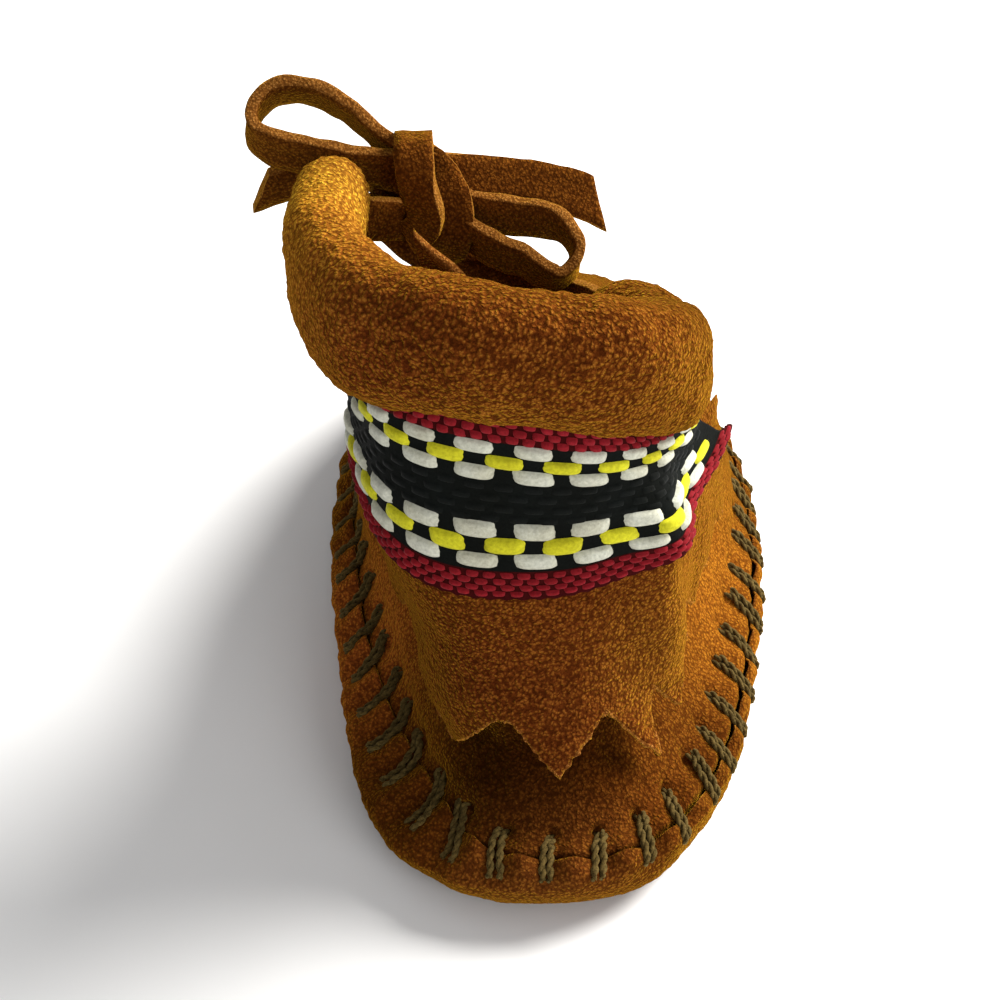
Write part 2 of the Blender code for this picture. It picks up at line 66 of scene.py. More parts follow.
forward = (AIM - EYE).normalized()
to_right = forward.cross(UPRIGHT).normalized()
upward = to_right.cross(forward)
lens = bpy.data.cameras.new("camera")
lens.lens = 71.0
lens.sensor_width = 36.0
lens.clip_start = 0.01
camera = bpy.data.objects.new("camera", lens)
camera.matrix_world = Matrix.Translation(EYE) @ Matrix(
    (to_right, upward, -forward)).transposed().to_4x4()
bpy.context.scene.collection.objects.link(camera)
bpy.context.scene.camera = camera
print("camera stands", round((EYE - AIM).length * 1000), "mm from the shoe")

# %% [markdown]
# ## Small helpers
# Lengths are written in millimetres, in the maker's layout, whose zero is at the back of the heel.
# `lay` moves such a point to the model's frame. `rising`, `smooth` and `bump` say how much of a
# fold, dent or lean a place takes. `spline` gives a smooth value between the entries of a list,
# which is all that a soft form needs: a few good sections and smooth skin between them.

# %% Helpers for points
SOLE_LENGTH = round((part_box("sole")[1].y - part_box("sole")[0].y) / MM, 3)
MIDDLE = Vector((1.271, 0.5 * SOLE_LENGTH, 0.0))


def lay(point):
    """From the maker's layout in millimetres to the model's frame in metres."""
    return (Vector(point) - MIDDLE) * MM


def rising(value, start=0.0, reach=1.0):
    """0 up to start, 1 from start + reach on, and even between the two."""
    return np.clip((value - start) / reach, 0.0, 1.0)


def smooth(value, start=0.0, reach=1.0):
    """The same, with soft corners."""
    t = rising(value, start, reach)
    return t * t * (3.0 - 2.0 * t)


def bump(value, middle, reach):
    """1 at the middle and close to 0 from two reaches away."""
    return np.exp(-((value - middle) / reach) ** 2)


def signed_power(value, power):
    return math.copysign(abs(value) ** power, value)


def curve_parts(at, last):
    """The first of the four entries that shape the curve at a place, and what each weighs."""
    i = np.clip(np.floor(at).astype(int), 0, last)
    t = at - i
    parts = ((-t + 2 * t ** 2 - t ** 3) / 2, (2 - 5 * t ** 2 + 3 * t ** 3) / 2,
             (t + 4 * t ** 2 - 3 * t ** 3) / 2, (t ** 3 - t ** 2) / 2)
    return i, parts


def spline_weights(count, at):
    """How much each of count entries weighs at a place; past the ends the list runs on straight."""
    i, parts = curve_parts(at, count - 2)
    weights = np.zeros(count + 2)
    weights[i:i + 4] = parts
    for beyond, end, before_end in ((0, 1, 2), (-1, -2, -3)):
        weights[end] += 2 * weights[beyond]
        weights[before_end] -= weights[beyond]
    return weights[1:-1]


def spline(values, at):
    weights = spline_weights(len(values), at)
    shares = (value * weight for value, weight in zip(values, weights) if weight)
    return sum(shares, values[0] * 0.0)


def run_of(points):
    """How far along a line of points each one is."""
    steps = np.linalg.norm(np.diff(points, axis=0), axis=1)
    return np.concatenate([[0.0], np.cumsum(steps)])


print("sole length", SOLE_LENGTH, "mm")

# %% [markdown]
# ## The lace's route
# The lace is one flat strip of suede, about 5 mm wide and 1.5 mm thick. It runs in the rolled
# collar, comes out of its two mouths, and is tied in a bow. Each half is one cord: out of its
# mouth, through the knot, round one loop, back through the knot, and on to its free end. A row
# gives a point of the strip's middle line and the direction in which the strip is wide.

# %% Route of the two halves
LACE_WIDTH = 5.2
LACE_THICKNESS = 1.5
LACE_FROM_INNER_MOUTH = (
    # x, y, z, and the direction in which the strip is wide
    (-21.6, 44.4, 70.4, 0.0, 0.0, 1.0),
    (-19.4, 46.6, 69.2, 0.0, -0.1, 1.0),
    (-16.6, 48.4, 68.1, 0.0, -0.1, 1.0),
    (-13.7, 49.6, 67.3, 0.0, -0.1, 1.0),
    (-11.2, 50.8, 67.4, 0.1, -0.2, 1.0),
    (-10.6, 51.9, 69.3, 0.5, -0.3, 0.8),
    (-12.0, 52.6, 71.4, 0.3, -0.6, 0.8),
    (-14.6, 53.2, 73.4, 0.1, -0.6, 0.8),
    (-18.0, 54.4, 75.9, 0.0, -0.6, 0.8),
    (-21.0, 56.0, 78.1, 0.0, -0.6, 0.8),
    (-24.3, 57.5, 79.3, 0.0, -0.6, 0.8),
    (-27.3, 58.0, 79.8, 0.0, -0.6, 0.8),
    (-30.0, 57.5, 79.3, 0.1, -0.6, 0.8),
    (-31.7, 56.0, 78.0, 0.1, -0.5, 0.85),
    (-31.9, 54.0, 76.6, 0.1, -0.4, 0.9),
    (-30.2, 52.8, 75.6, 0.0, -0.3, 0.95),
    (-26.7, 52.2, 74.7, 0.0, -0.3, 0.95),
    (-22.5, 51.7, 74.0, 0.0, -0.3, 0.95),
    (-18.0, 51.2, 73.3, 0.0, -0.3, 0.95),
    (-14.3, 51.2, 72.7, 0.0, 0.0, 1.0),
    (-10.6, 51.6, 72.0, 0.0, 0.35, 0.93),
    (-5.6, 52.0, 71.3, 0.1, 0.55, 0.85),
    (-0.2, 52.2, 70.4, 0.1, 0.6, 0.8),
    (4.9, 51.9, 69.2, 0.1, 0.6, 0.8),
    (9.9, 51.3, 67.0, 0.35, 0.6, 0.8),
)
LACE_FROM_OUTER_MOUTH = (
    (11.0, 38.4, 59.4, 0.1, -0.1, 1.0),
    (8.2, 42.4, 58.8, 0.1, -0.1, 1.0),
    (5.0, 46.4, 57.8, 0.1, 0.0, 1.0),
    (1.0, 49.2, 57.4, 0.1, 0.0, 1.0),
    (-4.0, 50.4, 58.0, 0.1, 0.1, 1.0),
    (-8.6, 51.0, 59.6, 0.1, 0.2, 1.0),
    (-12.8, 51.4, 62.4, 0.2, 0.2, 1.0),
    (-16.2, 52.2, 65.6, 0.3, 0.1, 1.0),
    (-17.0, 52.7, 69.0, 0.5, 0.0, 0.9),
    (-13.6, 52.3, 69.6, 0.2, -0.2, 1.0),
    (-9.4, 50.2, 67.0, 0.1, -0.3, 0.95),
    (-7.0, 48.6, 65.8, 0.0, -0.3, 0.95),
    (-4.3, 47.0, 64.7, 0.0, -0.3, 0.95),
    (-0.8, 46.0, 63.6, 0.0, -0.4, 0.9),
    (1.6, 45.2, 62.3, 0.1, -0.5, 0.85),
    (3.4, 45.0, 61.9, 0.1, -0.6, 0.8),
    (4.9, 45.8, 62.9, 0.1, -0.6, 0.8),
    (5.3, 47.0, 64.5, 0.1, -0.6, 0.8),
    (4.3, 48.2, 66.0, 0.0, -0.5, 0.85),
    (2.3, 49.0, 66.9, 0.0, -0.3, 0.95),
    (-0.8, 49.6, 67.3, 0.0, -0.2, 1.0),
    (-4.5, 50.2, 67.5, 0.0, -0.2, 1.0),
    (-8.6, 51.2, 68.4, 0.0, -0.2, 1.0),
    (-12.4, 52.4, 69.8, 0.0, -0.2, 1.0),
    (-16.4, 53.8, 70.7, 0.0, -0.2, 1.0),
    (-20.6, 55.4, 70.4, 0.0, -0.2, 1.0),
    (-25.0, 56.4, 69.4, 0.0, -0.2, 1.0),
    (-29.4, 56.6, 68.3, 0.0, -0.3, 0.95),
    (-34.0, 56.1, 66.9, 0.0, -0.3, 0.95),
)
KNOT_FRONT = (
    (-13.3, 52.9, 74.4, 1.0, 0.0, 0.0),
    (-13.3, 52.6, 76.2, 1.0, 0.0, 0.0),
    (-13.2, 50.6, 77.2, 1.0, 0.0, 0.0),
    (-13.1, 48.5, 76.9, 1.0, 0.0, 0.0),
    (-13.0, 47.2, 75.4, 1.0, -0.1, 0.0),
    (-12.7, 46.6, 73.4, 0.95, -0.3, 0.0),
    (-12.2, 46.5, 71.2, 0.9, -0.4, 0.1),
    (-12.0, 46.8, 69.2, 0.9, -0.4, -0.1),
    (-12.7, 47.6, 67.0, 0.8, -0.4, -0.4),
    (-14.2, 48.8, 65.7, 0.6, -0.3, -0.7),
)
KNOT_BACK = (
    (-12.4, 52.6, 73.4, 0.9, 0.0, 0.5),
    (-10.7, 51.0, 72.8, 0.9, 0.1, 0.4),
    (-9.4, 49.3, 71.4, 1.0, 0.1, 0.2),
    (-8.8, 48.3, 69.3, 1.0, 0.0, 0.0),
    (-8.8, 48.0, 66.8, 1.0, 0.0, -0.1),
    (-9.4, 48.4, 64.4, 0.9, 0.0, -0.4),
    (-10.8, 49.8, 62.6, 0.8, 0.0, -0.6),
)
for half, rows in (("inner", LACE_FROM_INNER_MOUTH), ("outer", LACE_FROM_OUTER_MOUTH)):
    print(half, "half is about", round(run_of([row[:3] for row in rows])[-1]), "mm")

# %% [markdown]
# ## The last
# A shoe is built over a last, the solid form of the foot. Here the last is a short table: the
# outline of the sole, and the rings of the upper from the seam to the ankle. `back` and `front`
# are where a ring crosses the middle line, `heel_half` and `ball_half` are its half widths, and
# `z_back`, `z_side` and `z_front` are its heights. `heel_shift` moves its back half sideways,
# `tilt` lowers its outer side, and `slit` is how many degrees of it the split leaves open on each
# side. The same table shaped the plain model.

# %% Table of the last
RINGS = {
    # name: back, front, heel_half, ball_half, heel_shift, z_back, z_side, z_front, tilt, slit
    "outline": (0.0, SOLE_LENGTH, 27.6, 30.3, 0.9, 0.0, 0.0, 0.0, 0.0, 0.0),
    "ledge": (7.6, 112.5, 19.6, 26.8, 1.9, 11.4, 15.5, 18.0, 0.0, 0.0),
    "heel": (12.0, 105.0, 14.6, 24.4, 1.6, 16.0, 23.5, 26.0, 0.0, 0.0),
    "ankle bone": (14.6, 93.0, 15.3, 22.6, 0.2, 22.5, 31.0, 32.0, 0.0, 0.0),
    "instep": (16.2, 79.0, 16.4, 20.8, -1.0, 30.0, 37.0, 37.5, 0.0, 0.0),
    "throat": (17.0, 65.0, 16.8, 18.8, -1.7, 37.0, 41.5, 42.5, 0.0, 0.0),
    "tongue": (16.6, 56.0, 15.8, 17.6, -2.2, 44.0, 46.0, 47.5, 0.04, 24.0),
    "ankle": (16.0, 51.0, 15.2, 16.9, -2.4, 53.0, 51.6, 51.5, 0.12, 38.0),
    "top": (15.2, 48.0, 15.2, 16.4, -2.3, 62.4, 57.6, 55.4, 0.215, 46.0),
}
WALL = (
    # height of the sole's turned-up wall, and how far in from the outline it is
    (0.0, 5.8),
    (0.7, 3.7),
    (2.1, 1.7),
    (4.2, 0.4),
    (6.3, 0.0),
    (8.0, 0.5),
    (9.4, 1.9),
)
ABOVE = [name for name in RINGS if name != "outline"]
LEVELS = np.arange(2, 2 + len(ABOVE))
SUEDE = 1.6
GAP = 0.35
ROUNDNESS = 2.5
MARGIN_HEIGHT = 6.0
BOW, TOE_IN = 1.3, 1.6
ARCH, ARCH_FROM, ARCH_LONG = 0.9, 42.0, 24.0
TOE_SPRING, SPRING_FROM, SPRING_LONG = 3.2, 98.0, 20.0
HEEL_LIFT, LIFT_TO = 0.7, 9.0
WALL_LEAN_IN = 1.5
CORNER_TURN, CORNER_SPREAD = -41.0, 27.0
CORNER_LEAN, CORNER_SWELL = 3.6, 1.3


def ground(y):
    """Height of the underside: flat at heel and ball, a low arch, and toe spring."""
    arch = ARCH * math.sin(math.pi * rising(y, ARCH_FROM, ARCH_LONG)) ** 2
    spring = TOE_SPRING * (max(y - SPRING_FROM, 0.0) / SPRING_LONG) ** 2
    heel = HEEL_LIFT * (max(LIFT_TO - y, 0.0) / LIFT_TO) ** 2
    return arch + spring + heel


def ring_point(name, turn):
    """A point of one ring: turn is 0 at the back, 90 at the outer side and 180 at the front."""
    back, front, heel_half, ball_half, shift, z_back, z_side, z_front, tilt, _ = RINGS[name]
    a = math.radians(turn)
    share = 0.5 - 0.5 * signed_power(math.cos(a), 2.0 / ROUNDNESS)
    half = heel_half + (ball_half - heel_half) * smooth(share, 0.2, 0.45)
    x = signed_power(math.sin(a), 2.0 / ROUNDNESS) * half
    bow = BOW * math.sin(math.pi * share) - TOE_IN * share * share
    bow *= (front - back) / SOLE_LENGTH
    z = (z_back * (1 - share) * (1 - 2 * share) + z_side * 4 * share * (1 - share)
         + z_front * share * (2 * share - 1))
    return Vector((x + shift * (1.0 - share) + bow, back + (front - back) * share, z - tilt * x))


def inward(turn):
    step = ring_point("outline", turn + 1.0) - ring_point("outline", turn - 1.0)
    return Vector((-step.y, step.x, 0.0)).normalized()


def wall_row(height, turn):
    """How far in the wall is at a height, and its slope; the heel's inner corner is fuller."""
    corner = bump((turn + 180.0) % 360.0 - 180.0, CORNER_TURN, CORNER_SPREAD)
    lean = CORNER_LEAN * corner - WALL_LEAN_IN * math.sin(math.radians(turn))
    rows = []
    for h, inset in WALL:
        swell = CORNER_SWELL * corner * smooth(h, 0.0, 4.0) * (1.0 - smooth(h, 6.0, 3.0))
        rows.append((h, inset + lean * smooth(h, 5.5, 4.0) - swell))
    for (h0, inset0), (h1, inset1) in zip(rows, rows[1:]):
        if height <= h1 or h1 == rows[-1][0]:
            slope = (inset1 - inset0) / (h1 - h0)
            return inset0 + slope * (height - h0), slope


def wall_point(height, turn, deep=0.0):
    inset, slope = wall_row(height, turn)
    across = 1.0 / math.hypot(1.0, slope)
    point = ring_point("outline", turn) + inward(turn) * (inset + deep * across)
    point.z = height - deep * slope * across + ground(point.y)
    return point


def upper_point(turn, level):
    """A point of the upper: level 0 is its hidden margin, 2 the ledge and 9 the top edge."""
    deep = SUEDE + 1.6 * GAP
    points = [wall_point(MARGIN_HEIGHT, turn, deep), wall_point(WALL[-1][0], turn, deep)]
    points += [ring_point(name, turn) for name in ABOVE]
    return spline(points, level)


print("rings:", ", ".join(RINGS))

# %% [markdown]
# ## Nets of points
# A net is a grid of points that lie on a form. Reading it between its rows and columns with a
# smooth curve gives any other point, and a small step each way gives the direction that points off
# the form. The upper, sole, flap and collar are all read from nets, so that a stitch or a ribbon
# laid on them later lies exactly on the suede.

# %% Nets
def make_net(points, around):
    """Pads a grid of points by one row and column each way; around joins its columns in a ring."""
    grid = np.array([[tuple(p) for p in row] for row in points], float)
    grid = np.concatenate([2 * grid[:1] - grid[1:2], grid, 2 * grid[-1:] - grid[-2:-1]])
    if around:
        return np.concatenate([grid[:, -1:], grid, grid[:, :2]], axis=1)
    return np.concatenate(
        [2 * grid[:, :1] - grid[:, 1:2], grid, 2 * grid[:, -1:] - grid[:, -2:-1]], axis=1)


def on_net(net, u, v):
    """Points at row u and column v, which may be whole arrays."""
    u, v = np.broadcast_arrays(np.asarray(u, float), np.asarray(v, float))
    row, row_parts = curve_parts(u, net.shape[0] - 4)
    column, column_parts = curve_parts(v, net.shape[1] - 4)
    found = np.zeros(u.shape + (3,))
    for k in range(4):
        for j in range(4):
            found += net[row + k, column + j] * (row_parts[k] * column_parts[j])[..., None]
    return found


def off_net(net, u, v, flip=1.0):
    """The direction that points off the form, one long."""
    step = 0.04
    along = on_net(net, u, np.asarray(v) + step) - on_net(net, u, np.asarray(v) - step)
    rising = on_net(net, np.asarray(u) + step, v) - on_net(net, np.asarray(u) - step, v)
    normal = np.cross(along, rising) * flip
    return normal / np.maximum(np.linalg.norm(normal, axis=-1, keepdims=True), 1e-9)


COLUMNS = 144
turns = [360.0 * k / COLUMNS for k in range(COLUMNS)]
upper_net = make_net([[upper_point(t, level) for t in turns] for level in range(10)], True)


def column_of(turn):
    return np.mod(np.asarray(turn, float), 360.0) * COLUMNS / 360.0


print("upper net", upper_net.shape)

# %% [markdown]
# ## Surfaces from grids
# `skin` makes one mesh from grids of points. Its thickness comes from Blender's Solidify modifier,
# which also gives the cut edge a material of its own, because the edge of cut suede is paler and
# rougher than its face. `ruffle` moves points a little with smooth noise, since no leather is flat.

# %% Helpers for meshes
def skin(name, grids, materials, thickness=0.0, around=False):
    """A smooth mesh through grids of points in layout millimetres; around closes them in rings."""
    vertices, faces = [], []
    for points in grids:
        rows, columns = points.shape[:2]
        corners = len(vertices) + np.arange(rows * columns).reshape(rows, columns)
        beside = np.roll(corners, -1, axis=1)
        last = columns if around else columns - 1
        quads = np.stack([corners[:-1], beside[:-1], beside[1:], corners[1:]], axis=-1)
        faces += quads[:, :last].reshape(-1, 4).tolist()
        vertices += ((points.reshape(-1, 3) - np.array(MIDDLE)) * MM).tolist()
    mesh = bpy.data.meshes.new(name)
    mesh.from_pydata(vertices, [], faces)
    mesh.shade_smooth()
    for material in materials:
        mesh.materials.append(material)
    obj = bpy.data.objects.new(name, mesh)
    bpy.context.scene.collection.objects.link(obj)
    if thickness:
        solid = obj.modifiers.new("thickness", "SOLIDIFY")
        solid.thickness = thickness * MM
        solid.use_even_offset = True
        solid.thickness_clamp = 1.2
        solid.material_offset_rim = len(materials) - 1
    return obj


def stands_for(obj, *nodes):
    """Hides the plain pieces that this one stands for, and ties it to the shoe's one body."""
    if nodes:
        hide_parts(*nodes)
    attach(obj, "root")
    return obj


def ruffle(points, size, height, seed, direction=None, share=1.0):
    """Smooth noise: size is how wide a bump is and height how tall, in millimetres."""
    shift = Vector((seed * 17.3, seed * 5.1, seed * 9.7))
    spots = [Vector(p) / size + shift for p in points.reshape(-1, 3)]
    if direction is None:
        moves = np.array([tuple(noise.noise_vector(spot)) for spot in spots])
        return points + height * moves.reshape(points.shape)
    moves = np.array([noise.noise(spot) for spot in spots]).reshape(points.shape[:-1])
    return points + height * moves[..., None] * direction * share


def triangles(obj):
    shown = obj.evaluated_get(bpy.context.evaluated_depsgraph_get()).to_mesh()
    return sum(len(p.vertices) - 2 for p in shown.polygons)


# %% [markdown]
# ## Suede
# Suede is leather with its inside raised to a nap: short, curly fibres that stand in every
# direction. Their tips catch the light and their roots lie in shade, so the colour is never even.
# Voronoi cells, pushed about by noise so that they lose their even edges, make the curls of nap. A
# fine noise makes the fibres, and a broad one the patches where a hand has stroked the nap. Soft
# spots paint light and shade into the colour: lighter where the light falls, and darker in cast
# shadows and on sides turned from the light. The glow at grazing angles is the shader's sheen.

# %% Helpers for materials
def feed(tree, node, inputs):
    """Links each input to the socket that feeds it, or sets it to a constant."""
    for name, value in inputs.items():
        if isinstance(value, bpy.types.NodeSocket):
            tree.links.new(value, node.inputs[name])
        else:
            node.inputs[name].default_value = value


def add_node(tree, kind, inputs, **settings):
    node = tree.nodes.new("ShaderNode" + kind)
    for name, value in settings.items():
        setattr(node, name, value)
    feed(tree, node, inputs)
    return node


def new_material(name):
    material = bpy.data.materials.new(name)
    material.use_nodes = True
    tree = material.node_tree
    tree.nodes.clear()
    shader = add_node(tree, "BsdfPrincipled", {})
    add_node(tree, "OutputMaterial", {"Surface": shader.outputs["BSDF"]})
    place = add_node(tree, "TexCoord", {})
    return material, tree, shader, place.outputs["Object"]


def noise_node(tree, place, scale, detail=3.0, rough=0.5, twist=0.0, output="Fac"):
    return add_node(tree, "TexNoise", {
        "Vector": place, "Scale": scale, "Detail": detail, "Roughness": rough,
        "Distortion": twist}).outputs[output]


def vector_math(tree, operation, *inputs):
    return add_node(tree, "VectorMath", dict(enumerate(inputs)), operation=operation).outputs


def ramp(tree, value, *stops):
    """A colour ramp; each stop is a position and a colour, or one number for a grey."""
    node = add_node(tree, "ValToRGB", {"Fac": value})
    for element, (position, colour) in zip(node.color_ramp.elements, stops):
        element.position = position
        element.color = (*colour, 1.0) if isinstance(colour, tuple) else (colour,) * 3 + (1.0,)
    return node.outputs["Color"]


def mixed(tree, share, first, second, blend="MIX"):
    node = add_node(tree, "Mix", {}, data_type="RGBA", blend_type=blend)
    colours = [socket for socket in node.inputs if socket.type == "RGBA"]
    for socket, value in zip([node.inputs[0], *colours], (share, first, second)):
        if isinstance(value, bpy.types.NodeSocket):
            tree.links.new(value, socket)
        else:
            socket.default_value = value
    return [socket for socket in node.outputs if socket.type == "RGBA"][0]


def bumped(tree, shader, height, strength, distance):
    node = add_node(tree, "Bump", {
        "Strength": strength, "Distance": distance * MM, "Height": height})
    tree.links.new(node.outputs["Normal"], shader.inputs["Normal"])


# %% Suede materials
def wandering(tree, place, scale, reach):
    """The place, moved a little by noise, so that what is drawn there loses its even edges."""
    drift = noise_node(tree, place, scale, 2.0, output="Color")
    return vector_math(tree, "MULTIPLY_ADD", drift, (reach * MM,) * 3, place)["Vector"]


def curls_of(tree, place, size):
    """Little clumps of nap, about `size` millimetres wide: 0 in the gaps and 1 on their crowns."""
    cells = add_node(tree, "TexVoronoi", {
        "Vector": wandering(tree, place, 700.0 / size, 1.4 * size),
        "Scale": 1.0 / (size * MM), "Smoothness": 0.35}, feature="SMOOTH_F1")
    return ramp(tree, cells.outputs["Distance"], (0.12, 1.0), (0.72, 0.0))


def paint_light_and_shade(tree, place, colour, x, y, z, reach, tone):
    """The colour, toned in a soft spot: painted light where the tone is above one, painted shade
    where it is below.
    """
    spot = (Vector((x, y, z)) - MIDDLE) * MM
    far = vector_math(tree, "DISTANCE", place, spot)["Value"]
    near = ramp(tree, far, (0.35 * reach * MM, 1.0), (reach * MM, 0.0))
    return mixed(tree, near, colour, vector_math(tree, "MULTIPLY", colour, tone)["Vector"])


def suede(name, root, face, tip, clump=0.75, nap=0.9, glow=0.38, spots=()):
    """root, face and tip are the colours from the bottom of the nap to its ends.

    clump is how wide its curls are in millimetres. The last argument lists the spots of painted
    light and painted shade: x, y, z and reach in millimetres, and the tone there.
    """
    material, tree, shader, place = new_material(name)
    curls = curls_of(tree, place, clump)
    grain = noise_node(tree, place, 2600.0, 4.0, 0.62, 0.8)
    strokes = noise_node(tree, place, 75.0, 3.0, 0.55, 0.4)
    patches = ramp(tree, strokes, (0.30, tuple(c * 0.72 for c in face)), (0.70, face))
    height = mixed(tree, 0.42, curls, grain)
    tone = mixed(tree, 0.62, curls, grain)
    tips = ramp(tree, tone, (0.50, 0.0), (0.72, 1.0))
    depth = ramp(tree, tone, (0.28, 0.0), (0.50, 1.0))
    colour = mixed(tree, depth, (*root, 1.0), mixed(tree, tips, patches, (*tip, 1.0)))
    # soft spots of painted light and painted shade
    for spot in spots:
        colour = paint_light_and_shade(tree, place, colour, *spot)
    feed(tree, shader, {
        "Base Color": colour, "Roughness": 0.95, "Specular IOR Level": 0.0,
        "Sheen Weight": glow, "Sheen Roughness": 0.36, "Sheen Tint": (1.0, 0.52, 0.03, 1.0)})
    bumped(tree, shader, height, nap, 0.70 * clump)
    return material


golden = suede("golden suede", (0.046, 0.0092, 0.0018), (0.118, 0.0275, 0.0048),
               (0.225, 0.0740, 0.0105), 0.44, 1.1,
               # painted light on the flap's outer side, which faces the key light
               spots=((18.5, 17.0, 29.0, 14.0, (1.15, 1.40, 1.15)),
                      # painted shade on the flap's inner side, turned from the light
                      (-16.0, 20.0, 28.0, 16.0, (0.70, 0.55, 0.80))))
collar_suede = suede("collar suede", (0.044, 0.0090, 0.0018), (0.126, 0.0300, 0.0046),
                     (0.260, 0.0930, 0.0125), 0.48, 1.15,
                     # painted light on the top of the roll's inner front end
                     spots=((-21.5, 43.0, 76.0, 12.0, (1.5, 2.0, 1.6)),
                            # painted light along the upper part of the roll's inner side
                            (-23.5, 30.0, 75.0, 19.0, (2.3, 3.1, 2.3)),
                            # painted shade on the lower part of the roll's inner side, turned from
                            # the light
                            (-22.0, 16.0, 66.0, 20.0, (0.80, 0.62, 0.90)),
                            # painted shade on the roll's outer side, toning it down where the key
                            # light falls
                            (15.0, 28.0, 68.0, 13.0, (0.62, 0.68, 0.70))))
# the sole and upper suede: a worn, darker base, with painted light and painted shade in soft spots
worn_with_painted_light = suede("worn sole suede", (0.042, 0.0100, 0.0016), (0.096, 0.0250, 0.0034),
             (0.165, 0.0540, 0.0065), 0.42, 0.9,
             # painted shadow on the heel's ledge under the flap
             spots=((0.0, 12.0, 15.0, 13.0, (0.42, 0.40, 0.42)),
                    # painted shadow under the first notch of the hem
                    (-8.5, 12.5, 15.0, 8.0, (0.45, 0.42, 0.45)),
                    # painted light on the back of the sole's wall, which faces away from the key
                    # light
                    (0.0, 2.0, 5.0, 16.0, (1.20, 1.30, 1.60)),
                    # painted light on the inner side of the sole and upper, which lies in shade
                    (-26.0, 43.0, 10.0, 24.0, (2.60, 2.40, 2.90)),
                    # painted light on the outer side of the sole and upper, which faces the key
                    # light
                    (27.0, 45.0, 13.0, 24.0, (2.10, 2.40, 1.80)),
                    # painted shadow under the curled tooth of the hem on the outer side
                    (9.5, 13.0, 16.5, 4.5, (0.40, 0.36, 0.40))))
cut_edge = suede("cut edge of suede", (0.110, 0.0330, 0.0060), (0.230, 0.0800, 0.0150),
                 (0.400, 0.1700, 0.0400), 0.30, 0.9, 0.5)
flesh = suede("inside of the suede", (0.030, 0.0090, 0.0022), (0.062, 0.0200, 0.0045),
              (0.100, 0.0370, 0.0090), 0.45, 0.6, 0.2)
lace_suede = suede("lace suede", (0.046, 0.0120, 0.0020), (0.105, 0.0300, 0.0040),
                   (0.180, 0.0620, 0.0080), 0.36, 0.8)
lace_edge = suede("cut edge of the lace", (0.100, 0.0330, 0.0060), (0.210, 0.0780, 0.0140),
                  (0.340, 0.1500, 0.0350), 0.28, 0.8, 0.5)
print("suedes:", len([m for m in bpy.data.materials if "suede" in m.name]))

# %% [markdown]
# ## The sole
# The sole is one piece of suede, turned up round the foot like a shallow dish, and gathered by the
# whip stitches at its edge. Between two stitches the edge stands a little proud; at each stitch it
# is pulled in and down. `turn_at_run` spaces the stitches evenly along the edge, and `pull` lets
# the puckers follow them.

# %% Stitch places
STITCH_PITCH = 6.3

edge_turns = np.linspace(0.0, 360.0, 721)
edge_run = run_of([wall_point(WALL[-1][0], turn) for turn in edge_turns])
STITCHES = round(edge_run[-1] / STITCH_PITCH)


def turn_at_run(share):
    """The turn at a share of the way along the sole's edge."""
    return np.interp(np.mod(share, 1.0) * edge_run[-1], edge_run, edge_turns)


def pull(turn):
    """1 at a stitch and 0 halfway between two."""
    run = np.interp(np.mod(turn, 360.0), edge_turns, edge_run)
    return 0.5 + 0.5 * np.cos(2.0 * math.pi * (run / edge_run[-1] * STITCHES))


print(STITCHES, "stitches along", round(edge_run[-1]), "mm of edge")

# %% Sole
EDGE_PROUD, TUG_IN = 0.05, 0.75
EDGE_LIFT, TUG_DOWN = 0.45, 0.95
PER_STITCH = 12

sole_rows = []
centre = Vector((1.2, 59.0, 0.0))
for share in (0.04, 0.35, 0.65, 0.86):
    row = [centre.lerp(wall_point(0.0, t), share) for t in turns]
    for point in row:
        point.z = ground(point.y)
    sole_rows.append(row)
sole_rows += [[wall_point(h, t) for t in turns] for h, _ in WALL]
sole_net = make_net(sole_rows, True)


def sole_shape(u, turn):
    """Points of the sole's outer face and the directions off it, with its puckers and dents."""
    u, turn = np.broadcast_arrays(np.asarray(u, float), np.asarray(turn, float))
    points = on_net(sole_net, u, column_of(turn))
    out = off_net(sole_net, u, column_of(turn))
    rise = rising(u, 6.0, 4.0)
    soft = rising(u, 5.0, 3.0)[..., None]
    tug = pull(turn)
    points += out * ((EDGE_PROUD - TUG_IN * tug) * rise ** 1.5)[..., None]
    points[..., 2] += (EDGE_LIFT - TUG_DOWN * tug) * rise ** 3
    points = ruffle(points, 9.0, 0.9, 3, out, soft * (1.0 - 0.6 * rise[..., None]))
    points = ruffle(points, 2.6, 0.32, 4, out, soft)
    return points, out


sole_turns = turn_at_run(np.arange(STITCHES * PER_STITCH) / (STITCHES * PER_STITCH))
sole_u = np.concatenate([np.linspace(0.0, 4.0, 9), np.linspace(4.0, 10.0, 34)[1:]])
sole_points, sole_out = sole_shape(sole_u[:, None], sole_turns[None, :])
sole_points = ruffle(sole_points, 0.9, 0.16, 5, sole_out * (sole_u > 5.0)[:, None, None])
sole = skin("sole_suede", [sole_points], (worn_with_painted_light, cut_edge), SUEDE, around=True)
stands_for(sole, "sole")
print("sole:", triangles(sole), "triangles")

# %% [markdown]
# ## The upper
# Vamp and quarters are one hollow skin of the same suede. It starts inside the sole's wall, comes
# out at the seam, bulges over the ledge and runs up to the ankle. Above the throat it is split
# down the front, and its inner front corner stands up in a small horn. Each whip stitch dents it a
# little where the needle went through.

# %% Upper
NEEDLE_LEVEL, DENT = 1.57, 1.1
BELLY_LEVEL, BELLY = 1.25, 0.65
SEAT_LEVEL, SEAT, SEAT_OUTER = 1.10, 0.80, 0.35
SLIT_FROM = 6.0
SLIT_SHIFT = 0.3
HORN_RISE, HORN_TURN, HORN_SPREAD, HORN_FROM = 1.1, -131.0, 25.0, 8.0


